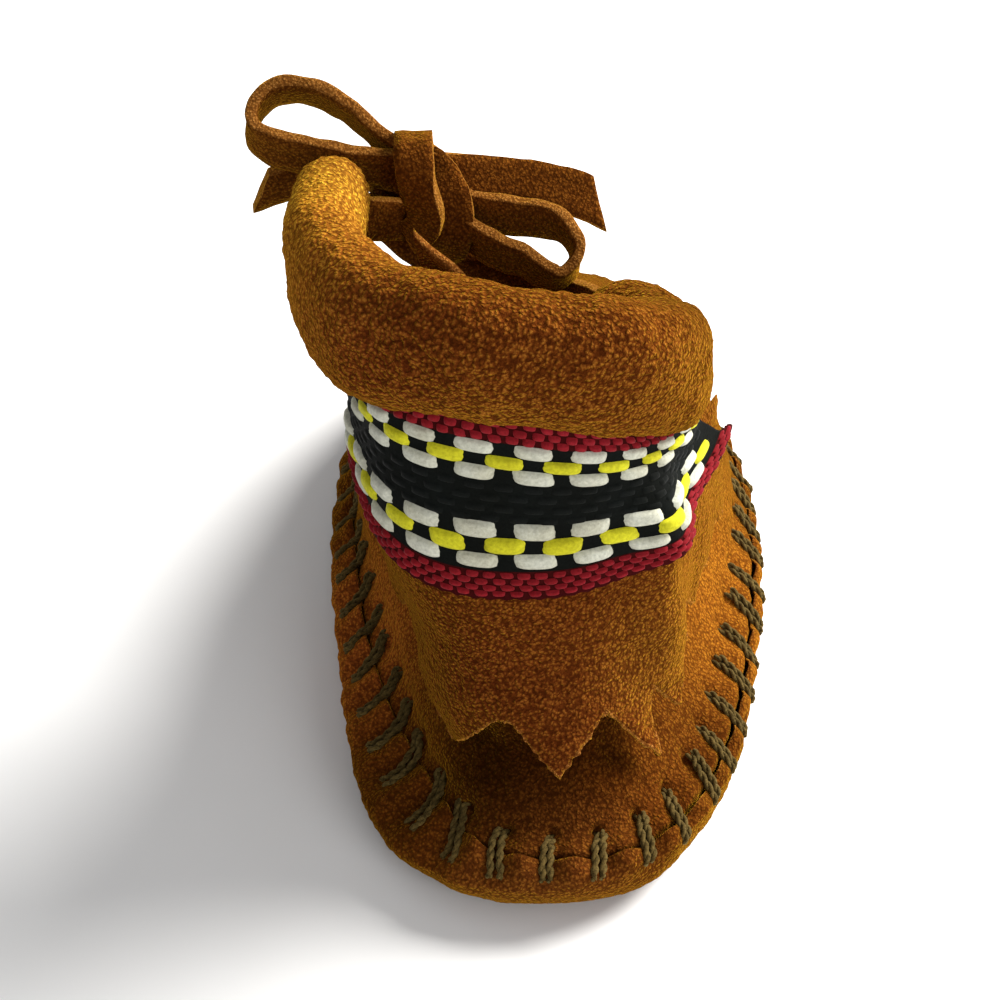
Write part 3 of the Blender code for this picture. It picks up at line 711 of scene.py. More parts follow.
def upper_shape(level, turn):
    """Points of the upper's outer face and the directions off it."""
    level, turn = np.broadcast_arrays(np.asarray(level, float), np.asarray(turn, float))
    points = on_net(upper_net, level, column_of(turn))
    out = off_net(upper_net, level, column_of(turn))
    dent = DENT * bump(level, NEEDLE_LEVEL, 0.12) * pull(turn) ** 8
    belly = BELLY * bump(level, BELLY_LEVEL, 0.30) * (1.0 - pull(turn))
    outer = np.maximum(np.sin(np.radians(turn)), 0.0)
    seat = bump(level, SEAT_LEVEL, 0.25) * (SEAT + SEAT_OUTER * outer)
    points += out * (belly + seat - dent)[..., None]
    free = rising(level, 1.6)[..., None]
    points = ruffle(points, 14.0, 1.3, 7, out, free)
    points = ruffle(points, 3.2, 0.30, 8, out, free)
    return points, out


upper_levels = np.concatenate([np.linspace(0.5, 3.0, 36), np.linspace(3.0, 9.0, 60)[1:]])
slit_at = np.interp(upper_levels, LEVELS, [RINGS[name][-1] for name in ABOVE])
slit_at[upper_levels <= SLIT_FROM] = 0.0
upper_shares = np.linspace(-1.0, 1.0, 421)
upper_turns = upper_shares * (180.0 - slit_at[:, None]) - SLIT_SHIFT * slit_at[:, None]
horn = HORN_RISE * bump(upper_turns, HORN_TURN, HORN_SPREAD)
horn *= rising(upper_levels[:, None], HORN_FROM)
upper_points, upper_out = upper_shape(upper_levels[:, None] + horn, upper_turns)
upper_points = ruffle(upper_points, 0.9, 0.16, 9, upper_out)
upper = skin("upper_suede", [upper_points], (worn_with_painted_light, cut_edge), SUEDE)
stands_for(upper, "upper")
print("upper:", triangles(upper), "triangles")

# %% [markdown]
# ## Tongue and insole
# The tongue is a strip of the same suede that starts under the vamp and stands behind the split.
# The insole is a plain liner. Both are hidden in most views, so they stay simple, but each has its
# own nap, and the tongue also has its own cut edge.

# %% Tongue
TONGUE_SUEDE = 1.3
TONGUE_ROOT, TONGUE_RISE = 5.2, 4.6
TONGUE_HALF, TONGUE_SHIFT = 10.0, 4.0
TONGUE_STAND = 8.5

up_share, side = np.meshgrid(np.linspace(0.0, 1.0, 25), np.linspace(-1.0, 1.0, 21), indexing="ij")
tongue_level = TONGUE_ROOT + TONGUE_RISE * up_share * (1.0 - 0.20 * np.abs(side + 0.4) ** 2.5)
tongue_half = TONGUE_HALF * (0.75 + 0.25 * up_share)
ball_half = np.interp(tongue_level, LEVELS, [RINGS[name][3] for name in ABOVE])
tongue_place = np.clip((tongue_half * side - TONGUE_SHIFT * up_share) / ball_half, -0.95, 0.95)
tongue_column = column_of(180.0 - np.degrees(np.arcsin(tongue_place)))
tongue_points = on_net(upper_net, tongue_level, tongue_column)
tongue_points -= off_net(upper_net, tongue_level, tongue_column) * (SUEDE + 2 * GAP)
standing = TONGUE_STAND * (up_share ** 2 * rising(-side) ** 0.8)[..., None]
tongue_points += standing * np.array([0.0, 0.5, 1.0])
tongue_points = ruffle(tongue_points, 7.0, 0.5, 11)
tongue = skin("tongue_suede", [tongue_points], (golden, cut_edge), TONGUE_SUEDE)
stands_for(tongue, "tongue")

# %% Insole
INSOLE_THICKNESS = 1.2
INSOLE_INSET = 6.6

insole_rows = []
for share in np.linspace(0.02, 1.0, 16):
    row = [centre.lerp(ring_point("outline", t) + inward(t) * INSOLE_INSET, share) for t in turns]
    for point in row:
        point.z = ground(point.y) + SUEDE + 1.6 * GAP + INSOLE_THICKNESS
    insole_rows.append(row)
insole_points = ruffle(np.array([[tuple(p) for p in row] for row in insole_rows]), 8.0, 0.25, 12)
insole = skin("insole_liner", [insole_points], (flesh,), INSOLE_THICKNESS, around=True)
stands_for(insole, "insole")
print("tongue and insole:", triangles(tongue) + triangles(insole), "triangles")

# %% [markdown]
# ## The ankle flap
# A strip of suede is wrapped round the ankle under the ribbon and hangs free to a zigzag hem. It
# lies in a fold at the heel's outer corner, and its outer end stands off. The teeth are cut by
# hand, so no two are alike: `HEM` lists where each notch and tip stands along the hem, and at which
# level of the upper. Places along it are counted from the back of the heel, inner side negative,
# with the hem's two ends at 60.

# %% Flap's grid
FLAP_SUEDE = 1.4
RIBBON_FOOT = 6.42
TOP_EDGE = 8.97
HEM_LEVEL = 3.0
HEM_HEIGHT, HEM_RING_HEIGHT, HEM_RISE = 17.0, 16.0, 0.4
HEM_CLEAR, HEM_CLEAR_OUTER = 0.9, 1.0
HANG_EASE = 0.35
END_LIFT = 0.6
OUTER_FLARE, FLARE_TOP, FLARE_DEPTH = 3.0, 8.0, 1.5
FOLD, FOLD_TURN, FOLD_SPREAD, FOLD_TOP, FOLD_DEPTH = 3.0, 50.0, 12.0, 8.6, 1.2
FOLD_FADE = 0.2
# how far forward the ends reach, at levels 2 to 9
FLAP_END = (58.0, 57.0, 55.0, 52.0, 46.5, 40.5, 37.0, 35.0)
RIBBON_END = (53.0, 52.0, 51.0, 48.0, 42.5, 37.0, 34.0, 32.0)
NET_STEPS = 60
HEM = (
    # along the hem, level
    (-60.0, 3.20),
    (-54.5, 3.75),
    (-49.0, 3.05),
    (-43.5, 3.75),
    (-38.0, 3.00),
    (-32.5, 3.70),
    (-27.5, 3.00),
    (-21.5, 3.60),
    (-13.0, 2.72),
    (-8.6, 3.28),
    (-5.0, 3.82),
    (-2.9, 3.90),
    (-1.9, 3.60),
    (0.7, 2.98),
    (6.2, 3.84),
    (7.2, 3.88),
    (11.9, 2.62),
    (14.6, 3.75),
    (18.6, 2.85),
    (23.4, 3.75),
    (27.5, 3.30),
    (31.0, 3.90),
    (35.5, 3.25),
    (40.0, 3.85),
    (45.0, 3.20),
    (50.0, 3.80),
    (55.0, 3.20),
    (60.0, 3.60),
)


def turn_reaching(ends, level):
    """The turn at which the upper's ring of a level reaches its end, on the outer side."""
    spots = np.linspace(0.0, 179.0, 240)
    found = on_net(upper_net, level, column_of(spots))[:, 1]
    return float(np.interp(np.interp(level, LEVELS, ends), found, spots))


def wrapped_net(ends, offset):
    """A net round the back of the upper, in even steps from its inner end to its outer end.

    It lies on the upper down to the ribbon's foot. Below that it hangs free, and eases out to
    stand clear of the heel at the hem.
    """
    end_turn = turn_reaching(ends, HEM_LEVEL)
    fine = np.linspace(-end_turn, end_turn, 241)
    run = run_of(on_net(upper_net, HEM_LEVEL, column_of(fine)))
    steps = np.interp(np.linspace(0.0, run[-1], NET_STEPS + 1), run, fine / end_turn)
    lift = offset + END_LIFT * steps ** 4

    def ring_at(level, stand, flat):
        """One row, standing off square to the upper where flat is 0, and level where it is 1."""
        turn = steps * turn_reaching(ends, level)
        flare = OUTER_FLARE * np.maximum(steps, 0.0) ** 4
        fold = FOLD * bump(turn, FOLD_TURN, FOLD_SPREAD)
        stand = (stand + (1.0 - flat) * flare * rising(FLARE_TOP - level, reach=FLARE_DEPTH)
                 + (1.0 - FOLD_FADE * flat) * fold * rising(FOLD_TOP - level, reach=FOLD_DEPTH))
        away = off_net(upper_net, level, column_of(turn))
        away[:, 2] *= 1.0 - flat
        away /= np.linalg.norm(away, axis=1, keepdims=True)
        return on_net(upper_net, level, column_of(turn)) + away * stand[:, None]

    foot = ring_at(RIBBON_FOOT, lift, 0.0)
    outer = rising(0.5 + 1.6 * steps)
    hem = ring_at(HEM_LEVEL, lift + HEM_CLEAR + HEM_CLEAR_OUTER * outer, 1.0)
    hem[:, 2] = HEM_HEIGHT + HEM_RISE * (hem[:, 2] - HEM_RING_HEIGHT)
    rows = []
    for level in np.linspace(LEVELS[0], LEVELS[-1], 15):
        drop = (RIBBON_FOOT - level) / (RIBBON_FOOT - HEM_LEVEL)
        if drop < 0.0:
            rows.append(ring_at(level, lift, 0.0))
        else:
            ease = drop * (HANG_EASE + (1.0 - HANG_EASE) * drop)
            rows.append(foot + (hem - foot) * np.array([ease, ease, drop]))
    return make_net(rows, False), run[-1]


def net_row(level):
    """The row of a wrapped net at a level; it has two rows to each level."""
    return (np.asarray(level) - LEVELS[0]) * 2.0


flap_net, flap_length = wrapped_net(FLAP_END, GAP + FLAP_SUEDE)
print("flap is", round(flap_length), "mm long at the hem")


# %% Flap
PER_EDGE = 16
CURL, CURL_AT, CURL_REACH = 1.3, 9.6, 2.2
TOOTH_LEVEL, TOOTH_CLEAR = 4.0, 0.5

hem_marks = np.linspace(0.0, len(HEM) - 1.0, PER_EDGE * (len(HEM) - 1) + 1)
hem_along, hem_level = (np.interp(hem_marks, range(len(HEM)), column) for column in zip(*HEM))
hem_share = hem_along / HEM[-1][0]
curled = bump(hem_share * 0.5 * flap_length, CURL_AT, CURL_REACH)[:, None]

down = np.linspace(1.0, 0.0, 112)[:, None]
flap_levels = TOP_EDGE + (hem_level - TOP_EDGE) * down
flap_spots = net_row(flap_levels), 0.5 * NET_STEPS * (1.0 + hem_share)
flap_points = on_net(flap_net, *flap_spots)
flap_out = off_net(flap_net, *flap_spots)
hang = rising(RIBBON_FOOT - flap_levels, reach=3.0)[..., None]
tooth = rising(TOOTH_LEVEL - flap_levels, reach=1.2)[..., None]
flap_points += flap_out * (TOOTH_CLEAR + CURL * curled) * tooth ** 2
flap_points = ruffle(flap_points, 11.0, 1.5, 21, flap_out, hang)
flap_points = ruffle(flap_points, 3.0, 0.35, 22, flap_out, hang)
flap_points = ruffle(flap_points, 0.8, 0.13, 23, flap_out)
flap = skin("ankle_flap", [flap_points], (golden, cut_edge), FLAP_SUEDE)
stands_for(flap, "cuff_flap")
print("flap:", triangles(flap), "triangles")

# %% [markdown]
# ## The woven ribbon
# The ribbon is a narrow black band, about 25 mm wide. Extra threads in white, yellow and crimson
# float over it in short hops, and dive under it between hops. Each hop is a small pillow of thread,
# so it is modelled as one: a patch of the band that swells in its middle and sinks at its ends.
# `PATTERN` charts the rows from the top selvedge to the bottom one. The band's place is read from a
# net of its own, which follows the flap's.

# %% Ribbon's place
BAND_TOP = 9.5
BAND_DEPTH = BAND_TOP - RIBBON_FOOT
BAND_MIDDLE = 7.75
BAND_THICKNESS = 0.7

ribbon_net = wrapped_net(RIBBON_END, 2.4 * GAP + FLAP_SUEDE + 0.9)[0]
middle_columns = np.linspace(0.0, NET_STEPS, 241)
middle_run = run_of(on_net(ribbon_net, net_row(BAND_MIDDLE), middle_columns))
BAND_LONG = float(middle_run[-1])
across_heel = on_net(ribbon_net, net_row(np.linspace(RIBBON_FOOT, BAND_TOP, 60)), 0.5 * NET_STEPS)
BAND_WIDE = float(run_of(across_heel)[-1])
print("ribbon is", round(BAND_LONG), "mm long and", round(BAND_WIDE, 1), "mm wide")


def on_band(along, across, proud):
    """A point of the ribbon: along in mm from its inner end, across from 0 at its top to 1."""
    spot = net_row(BAND_TOP - BAND_DEPTH * across), np.interp(along, middle_run, middle_columns)
    return on_net(ribbon_net, *spot) + off_net(ribbon_net, *spot) * proud[..., None]


# %% Ribbon band
def threads(name, hue, rough, glow):
    """Thread, or the cloth woven from it: fine fluff, a little soil, and a soft shine."""
    material, tree, shader, place = new_material(name)
    fluff = noise_node(tree, place, 2600.0, 4.0, 0.6, 0.3)
    soil = noise_node(tree, place, 160.0)
    clean = ramp(tree, fluff, (0.30, tuple(c * 0.66 for c in hue)), (0.66, hue))
    dull = ramp(tree, soil, (0.35, (0.80, 0.77, 0.70)), (0.65, 1.0))
    feed(tree, shader, {
        "Base Color": mixed(tree, 1.0, clean, dull, "MULTIPLY"), "Roughness": rough,
        "Specular IOR Level": 0.03, "Sheen Weight": glow, "Sheen Roughness": 0.4})
    bumped(tree, shader, fluff, 0.5, 0.12)
    return material


black_cloth = threads("black ribbon cloth", (0.0042, 0.0052, 0.0046), 0.80, 0.0)
border_cloth = threads("dark crimson ribbon cloth", (0.040, 0.0020, 0.0022), 0.80, 0.0)

BAND_ROWS, BAND_COLUMNS = 64, 190
BORDERS = (0.165, 0.815)
PICK = 1.7

band_across, band_along = np.meshgrid(
    np.linspace(1.0, 0.0, BAND_ROWS), np.linspace(0.0, BAND_LONG, BAND_COLUMNS), indexing="ij")
scallop = 0.006 * np.sin(band_along * 2.0 * math.pi / PICK) * (band_across > 0.99)
band_points = on_band(band_along, band_across + scallop, 0.05 * np.sin(band_across * 190.0))
band = skin("ribbon_cloth", [band_points], (black_cloth,), BAND_THICKNESS)
band.data.materials.append(border_cloth)
for face in band.data.polygons:
    across = 1.0 - face.index // (BAND_COLUMNS - 1) / (BAND_ROWS - 1)
    face.material_index = int(not BORDERS[0] <= across <= BORDERS[1])
stands_for(band, "ribbon_band")
print("band:", triangles(band), "triangles")

# %% Chart of the ribbon's floats
THREADS = {
    # name: material, points of a hop along and across it, wobble of its place
    "crimson": (threads("crimson thread", (0.23, 0.0105, 0.0165), 0.65, 0.02), (7, 5), 0.05),
    "white": (threads("white thread", (0.54, 0.55, 0.47), 0.65, 0.03), (15, 9), 0.02),
    "yellow": (threads("yellow thread", (0.58, 0.56, 0.022), 0.60, 0.03), (15, 9), 0.02),
    "black": (threads("black thread", (0.0050, 0.0062, 0.0057), 0.70, 0.02), (9, 5), 0.02),
}
PATTERN = (
    # thread, middle of the row across the band, height in mm, hop, pitch, start, swell
    ("crimson", 0.026, 1.18, 1.62, 1.85, 0.0, 0.40),
    ("crimson", 0.064, 1.18, 1.62, 1.85, 0.5, 0.42),
    ("crimson", 0.102, 1.18, 1.62, 1.85, 0.0, 0.42),
    ("crimson", 0.140, 1.18, 1.62, 1.85, 0.5, 0.40),
    ("white", 0.188, 1.80, 4.65, 6.30, 0.5, 0.55),
    ("yellow", 0.246, 1.80, 4.50, 6.30, 0.0, 0.52),
    ("white", 0.306, 2.00, 4.75, 6.30, 0.5, 0.60),
    ("black", 0.372, 1.50, 2.70, 3.15, 0.0, 0.20),
    ("black", 0.425, 1.50, 2.70, 3.15, 0.5, 0.20),
    ("black", 0.478, 1.50, 2.70, 3.15, 0.0, 0.20),
    ("black", 0.530, 1.50, 2.70, 3.15, 0.5, 0.20),
    ("white", 0.586, 2.40, 4.80, 6.30, 0.5, 0.66),
    ("yellow", 0.667, 2.50, 4.65, 6.30, 0.0, 0.64),
    ("white", 0.748, 2.35, 4.80, 6.30, 0.5, 0.66),
    ("crimson", 0.836, 1.22, 1.62, 1.85, 0.0, 0.42),
    ("crimson", 0.878, 1.22, 1.62, 1.85, 0.5, 0.42),
    ("crimson", 0.920, 1.22, 1.62, 1.85, 0.0, 0.42),
    ("crimson", 0.962, 1.22, 1.62, 1.85, 0.5, 0.40),
)
print(len(PATTERN), "rows of floats")


# %% Floats of the ribbon
SUNK = 0.25


def pillow(along, across, long, high, swell, lean, grid):
    """One hop: a grid that swells in the middle and dives into the cloth at both ends."""
    a, b = np.meshgrid(np.linspace(-1, 1, grid[0]), np.linspace(-1, 1, grid[1]), indexing="ij")
    crown = 1.0 - np.abs(a) ** 4.0
    up = crown * (1.0 - np.abs(b) ** 2.8) ** 0.6
    ribs = 0.035 * np.sin(b * 9.0 + a * 1.2) * crown
    return on_band(along + 0.5 * long * a + lean * b,
                   across + 0.5 * high / BAND_WIDE * b * (0.55 + 0.45 * crown ** 0.25),
                   -SUNK + (swell + SUNK) * up + ribs)


hops = {thread: [] for thread in THREADS}
rng = random.Random(7)
for thread, across, high, hop, pitch, start, swell in PATTERN:
    _, grid, wobble = THREADS[thread]
    place = -0.2 + start * pitch
    while place < BAND_LONG:
        if 0.5 * hop < place < BAND_LONG - 0.5 * hop:
            hops[thread].append(pillow(
                place + rng.uniform(-wobble, wobble) * hop,
                across + rng.uniform(-0.0025, 0.0025),
                hop * rng.uniform(0.93, 1.06),
                high * rng.uniform(0.92, 1.06),
                swell * rng.uniform(0.85, 1.15),
                rng.uniform(-0.08, 0.08) * high,
                grid,
            ))
        place += pitch
for thread, (material, _, _) in THREADS.items():
    piece = stands_for(skin(f"ribbon_{thread}_hops", hops[thread], (material,)))
    print(thread, len(hops[thread]), "hops,", triangles(piece), "triangles")

# %% [markdown]
# ## The rolled collar
# The collar is suede rolled outward into a soft tube, and the lace runs inside it. Each row of
# `ROLL` is one section across it, from its inner front end round the back to its outer front end:
# the middle of the section, and how thick and tall it is. It sags a little over the ribbon.

# %% Collar
ROLL = (
    # x, y, z, thick, tall
    (-21.6, 48.6, 70.6, 7.0, 10.0),
    (-22.7, 44.0, 70.9, 7.9, 13.4),
    (-22.9, 36.0, 70.8, 8.9, 16.2),
    (-21.2, 27.8, 71.4, 10.4, 16.2),
    (-15.8, 19.4, 72.1, 11.2, 15.0),
    (-8.0, 15.4, 72.2, 11.0, 14.6),
    (0.5, 14.6, 71.2, 11.0, 15.0),
    (8.2, 16.6, 68.9, 11.0, 15.0),
    (13.2, 22.0, 65.1, 11.0, 14.0),
    (14.4, 29.2, 61.2, 10.6, 12.2),
    (12.8, 36.0, 60.0, 9.8, 11.2),
    (8.4, 41.2, 59.0, 8.4, 9.4),
)
COLLAR_SUEDE = 1.7
RIM_DEPTHS = (0.15, 0.5, 1.1, COLLAR_SUEDE)
MOUTH_CLOSING, MOUTH_REACH = 0.22, 0.45
SQUARENESS = 0.85
SAG = 0.5


def roll_ring(at, sides):
    """One section of the roll, which closes a little towards its two mouths."""
    here = spline([Vector(row[:3]) for row in ROLL], at)
    thick, tall = (spline([row[k] for row in ROLL], at) for k in (3, 4))
    along = (spline([Vector(row[:3]) for row in ROLL], at + 0.05) - here).normalized()
    side = along.cross(Vector((0.0, 0.0, 1.0))).normalized()
    up = side.cross(along)
    mouth = min(at, len(ROLL) - 1 - at)
    half = 0.5 - 0.5 * MOUTH_CLOSING * (1.0 - smooth(mouth, 0.0, MOUTH_REACH)) ** 2
    ring = []
    for i in range(sides):
        a = 2.0 * math.pi * i / sides
        out = signed_power(math.cos(a), SQUARENESS) * half * thick
        rise = signed_power(math.sin(a), SQUARENESS) * half * tall
        ring.append(here + side * out + up * (rise - SAG * smooth(-math.sin(a))))
    return ring


def collar_grid(steps, sides):
    """The roll as a grid, with soft uneven lumps in it."""
    stations = np.linspace(0.0, len(ROLL) - 1.0, steps)
    points = np.array([[tuple(p) for p in roll_ring(at, sides)] for at in stations])
    u, v = np.meshgrid(np.arange(steps), np.arange(sides), indexing="ij")
    out = off_net(make_net(points, True), u, v, -1.0)
    points = ruffle(points, 13.0, 1.0, 31, out)
    return ruffle(points, 4.0, 0.28, 32, out), out


collar_points, collar_out = collar_grid(330, 144)
collar_points = ruffle(collar_points, 1.5, 0.14, 33, collar_out)
collar_points = ruffle(collar_points, 0.7, 0.18, 34, collar_out)
rim = [collar_points[:1] - collar_out[:1] * depth for depth in reversed(RIM_DEPTHS)]
far_rim = [collar_points[-1:] - collar_out[-1:] * depth for depth in RIM_DEPTHS]
collar = skin("rolled_collar", [np.concatenate([*rim, collar_points, *far_rim])],
              (collar_suede, cut_edge), around=True)
collar.data.flip_normals()
stands_for(collar, "collar_roll")
print("collar:", triangles(collar), "triangles")

# %% Inside of the roll
lining_points, lining_out = collar_grid(110, 48)
lining_points = lining_points - lining_out * COLLAR_SUEDE
lining = stands_for(skin("collar_inside", [lining_points], (flesh,), around=True))
print("inside:", triangles(lining), "triangles; roll spans",
      [round(float(v), 1) for v in (*collar_points.min((0, 1)), *collar_points.max((0, 1)))])

# %% [markdown]
# ## Whip stitches
# The sole is whipped to the upper with a doubled, twisted cord of olive brown. Each stitch comes
# out of the sole's wall, laps over its raw edge, leans a little along the seam and goes down into
# the upper. The cord is four plies: two strands side by side, and two plies twisted in each strand.
# The same tube of points, frayed with noise, makes the pale raw edge of the flap.

# %% Cord
def cord_material(name, dark, light):
    material, tree, shader, place = new_material(name)
    fluff = noise_node(tree, place, 2200.0, 4.0, 0.65, 0.5)
    feed(tree, shader, {
        "Base Color": ramp(tree, fluff, (0.32, dark), (0.68, light)), "Roughness": 0.85,
        "Specular IOR Level": 0.03, "Sheen Weight": 0.15, "Sheen Tint": (1.0, 0.78, 0.30, 1.0)})
    bumped(tree, shader, fluff, 0.7, 0.15)
    return material


olive_cord = cord_material("olive brown cord", (0.020, 0.0120, 0.0034), (0.118, 0.078, 0.023))


def tube(points, radii, sides=6):
    """Rings of points round a path, for one ply of cord."""
    rows = []
    last = len(points) - 1
    for k, point in enumerate(points):
        along = Vector(points[min(k + 1, last)] - points[max(k - 1, 0)]).normalized()
        side = along.cross(Vector((0.0, 0.0, 1.0)))
        side = side.normalized() if side.length > 1e-6 else Vector((1.0, 0.0, 0.0))
        up = side.cross(along)
        rows.append([Vector(point) + (side * math.cos(a) + up * math.sin(a)) * radii[k]
                     for a in np.linspace(0.0, 2.0 * math.pi, sides + 1)])
    return np.array(rows)


def twisted(path, normals, ply, apart, twist, steps):
    """Two plies wound round a path of points, with the path's own normals to wind from."""
    length = run_of(path)
    at = np.linspace(0.0, length[-1], steps)
    centre_line, off = (np.stack([np.interp(at, length, line[:, k]) for k in range(3)], axis=1)
                        for line in (path, normals))
    along = np.gradient(centre_line, axis=0)
    along /= np.linalg.norm(along, axis=1, keepdims=True)
    beside = np.cross(along, off)
    beside /= np.linalg.norm(beside, axis=1, keepdims=True)
    off = np.cross(beside, along)
    plies = []
    for start in (0.0, math.pi):
        angle = (start + at * twist)[:, None]
        ply_path = centre_line + (np.cos(angle) * off + np.sin(angle) * beside) * apart
        plies.append(tube(ply_path, np.full(steps, ply)))
    return plies


# %% Cut edge of the flap
hem_line = flap_points[0] - flap_out[0] * 0.32
hem_width = 0.30 + 0.10 * np.sin(np.arange(len(hem_line)) * 1.7)
hem_fray = ruffle(tube(hem_line, hem_width), 0.9, 0.30, 24)
hem_edge = stands_for(skin("flap_cut_edge", [hem_fray], (cut_edge,)))
print("cut edge of the flap:", triangles(hem_edge), "triangles")


# %% Stitches
# row of the sole or level of the upper, and how far the cord stands off there
OUT_OF_THE_SOLE = ((8.55, -0.9), (8.65, 0.0), (9.1, 0.22), (9.6, 0.30))
INTO_THE_UPPER = ((1.27, 0.42), (1.38, 0.26), (1.49, 0.10), (NEEDLE_LEVEL, -0.9))
STRAND_APART = 0.085
LEAN_INNER, LEAN_OUTER = -0.40, 0.22
PLY, PLY_APART, PLY_TWIST = 0.28, 0.22, 2.2


def drawn(marks, steps):
    """A smooth line through marks."""
    return np.array([spline(marks, at) for at in np.linspace(0.0, len(marks) - 1.0, steps)])


stitch_plies = []
stitch_rng = random.Random(11)
for k in range(STITCHES):
    share = (k + stitch_rng.uniform(-0.10, 0.10)) / STITCHES
    side_of_shoe = math.sin(2.0 * math.pi * share)
    lean = max(LEAN_INNER, min(LEAN_OUTER, 1.5 * side_of_shoe)) + stitch_rng.uniform(-0.05, 0.05)
    for strand in (-STRAND_APART, STRAND_APART):
        spread = strand * stitch_rng.uniform(0.8, 1.2)
        foot = float(turn_at_run(share + (spread - 0.5 * lean) / STITCHES))
        neck = float(turn_at_run(share + (spread + 0.1 * lean) / STITCHES))
        head = float(turn_at_run(share + (0.7 * spread + 0.5 * lean) / STITCHES))
        places = [(sole_shape, *mark, turn) for mark, turn in zip(
            OUT_OF_THE_SOLE, (foot, foot, foot, 0.5 * (foot + neck)))]
        places += [(upper_shape, *mark, turn) for mark, turn in zip(
            INTO_THE_UPPER, (neck, 0.5 * (neck + head), head, head))]
        marks, outs = [], []
        for shape, level, deep, turn in places:
            point, out = shape(level, turn)
            marks.append(point + out * deep)
            outs.append(out)
        path, off = drawn(marks, 30), drawn(outs, 30)
        stitch_plies += twisted(path, off, PLY, PLY_APART, PLY_TWIST, 26)
stitches = stands_for(skin("whip_stitches", stitch_plies, (olive_cord,)))
print("stitches:", triangles(stitches), "triangles")

# %% [markdown]
# ## The lace
# Each half of the lace is swept along its route with a flat section whose corners are a little
# round. The two faces are napped suede and the two narrow sides are cut edges, which are paler.
# Its free end is cut on a slant.

# %% Lace
STRAP_SECTION = (
    # across and off, from -1 to 1
    (-1.0, -0.55), (-0.97, -0.9), (-0.5, -1.0), (0.0, -1.0), (0.5, -1.0), (0.97, -0.9),
    (1.0, -0.55), (1.0, 0.55), (0.97, 0.9), (0.5, 1.0), (0.0, 1.0), (-0.5, 1.0), (-0.97, 0.9),
    (-1.0, 0.55),
)
CUT_SIDES = (0, 5, 6, 7, 12, 13)
KNOT_WIDTH = 4.4
END_CUT = 4.0
LACE_CURL = 0.10


def strap(name, rows, width, end_cut=0.0, steps=5):
    """A flat strip along rows of a point and a wide direction, with its narrow sides cut."""
    count = steps * (len(rows) - 1) + 1
    marks = [Vector(row[:3]) for row in rows]
    broads = [Vector(row[3:]).normalized() for row in rows]
    points = [spline(marks, k / steps) for k in range(count)]
    run = run_of(points)
    rings = []
    for k, point in enumerate(points):
        along = (points[min(k + 1, count - 1)] - points[max(k - 1, 0)]).normalized()
        broad = spline(broads, k / steps)
        across = (broad - along * broad.dot(along)).normalized()
        off = along.cross(across)
        slant = max(end_cut - 0.5 * float(run[-1] - run[k]), 0.0)
        ring = []
        for a, b in STRAP_SECTION:
            curl = LACE_CURL * LACE_THICKNESS * (a * a - 0.3)
            ring.append(point - along * (0.5 * (a + 1.0) * slant) + across * (0.5 * width * a)
                        + off * (0.5 * LACE_THICKNESS * b + curl))
        rings.append(ring)
    grid = ruffle(np.array(rings), 2.2, 0.22, len(name))
    obj = skin(name, [grid], (lace_suede, lace_edge), around=True)
    sides = len(STRAP_SECTION)
    bm = bmesh.new()
    bm.from_mesh(obj.data)
    for face in bm.faces:
        face.material_index = int(face.index % sides in CUT_SIDES)
    bm.verts.ensure_lookup_table()
    for start in (0, (count - 1) * sides):
        ring = bm.verts[start:start + sides]
        cap = bm.faces.new(ring if start else ring[::-1])
        cap.material_index = 1
    bmesh.ops.recalc_face_normals(bm, faces=bm.faces)
    bm.to_mesh(obj.data)
    bm.free()
    return obj, [lay(p) for p in points], float(run[-1]) * MM


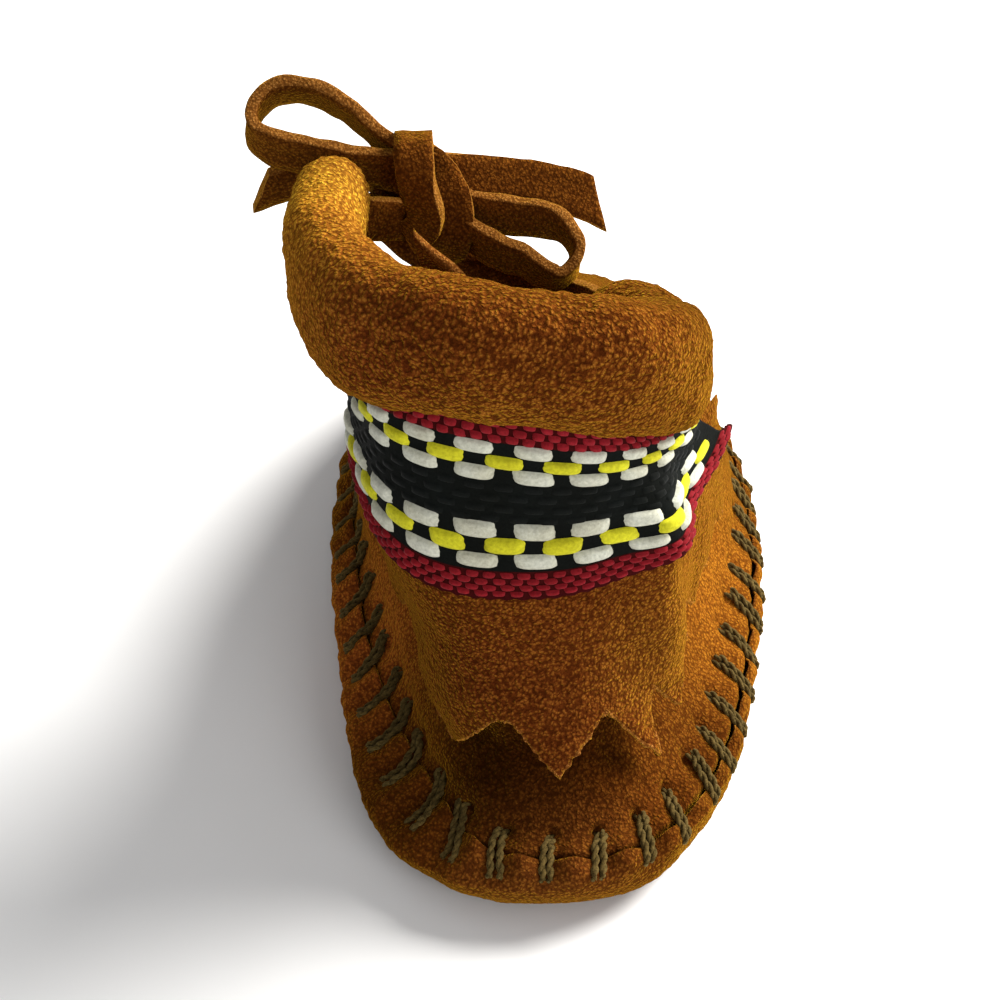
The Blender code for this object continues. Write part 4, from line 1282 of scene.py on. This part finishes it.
# %% Tie the lace
inner_lace, inner_path, inner_length = strap(
    "lace_inner_half", LACE_FROM_INNER_MOUTH, LACE_WIDTH, END_CUT)
outer_lace, outer_path, outer_length = strap(
    "lace_outer_half", LACE_FROM_OUTER_MOUTH, LACE_WIDTH, END_CUT)
knot = strap("lace_knot_front", KNOT_FRONT, KNOT_WIDTH)[0]
knot_turn = strap("lace_knot_back", KNOT_BACK, KNOT_WIDTH)[0]
stands_for(inner_lace, "lace_loop_left", "lace_end_right", "lace_bar")
stands_for(outer_lace, "lace_loop_right", "lace_end_left")
stands_for(knot, "lace_knot")
stands_for(knot_turn)
print("lace halves:", round(inner_length * 1000), "and", round(outer_length * 1000), "mm")

# %% [markdown]
# ## Area of the cloth
# Each sheet's area is printed, half the area of its skin: the ribbon is stretched round the ankle,
# and the flap hangs. The collar is a soft roll.

# %% Area of the cloth
def cloth_area(obj):
    """Half the area of a sheet's skin, since it has two faces."""
    shown = obj.evaluated_get(bpy.context.evaluated_depsgraph_get()).to_mesh()
    return 0.5 * sum(p.area for p in shown.polygons)


cloth_area(band)
cloth_area(flap)
for sheet in (band, flap):
    print(sheet.name, round(cloth_area(sheet) * 1e4, 1), "cm2")

# %% [markdown]
# ## Floor and light
# The shoe stands on a plain pale floor under soft light: a broad light high on the outer side, a
# weaker one behind the heel, and a pale sky.

# %% Floor and light
bpy.ops.mesh.primitive_plane_add(size=6.0, location=(0.0, 0.0, -0.0002))
floor = bpy.context.object
floor.name = "floor"
paper, tree, shader, place = new_material("pale paper")
feed(tree, shader, {
    "Base Color": ramp(tree, noise_node(tree, place, 30.0), (0.3, 0.86), (0.7, 0.89)),
    "Roughness": 0.9})
floor.data.materials.append(paper)


def area_light(name, place, target, power, size, colour=(1.0, 1.0, 1.0)):
    light = bpy.data.lights.new(name, "AREA")
    light.energy = power
    light.shape = "DISK"
    light.size = size
    light.color = colour
    obj = bpy.data.objects.new(name, light)
    obj.location = place
    obj.rotation_euler = (Vector(target) - Vector(place)).to_track_quat("-Z", "Y").to_euler()
    bpy.context.scene.collection.objects.link(obj)


area_light("key", (0.63, 0.32, 0.56), (0.0, -0.01, 0.03), 24.0, 0.60, (1.0, 0.98, 0.94))
area_light("front", (0.45, -0.70, 0.30), (0.0, 0.0, 0.03), 3.2, 0.5)
sky = bpy.data.worlds.new("pale sky")
sky.use_nodes = True
feed(sky.node_tree, sky.node_tree.nodes["Background"],
     {"Color": (1.0, 1.0, 1.0, 1.0), "Strength": 0.43})
bpy.context.scene.world = sky
bpy.context.scene.view_settings.view_transform = "Standard"
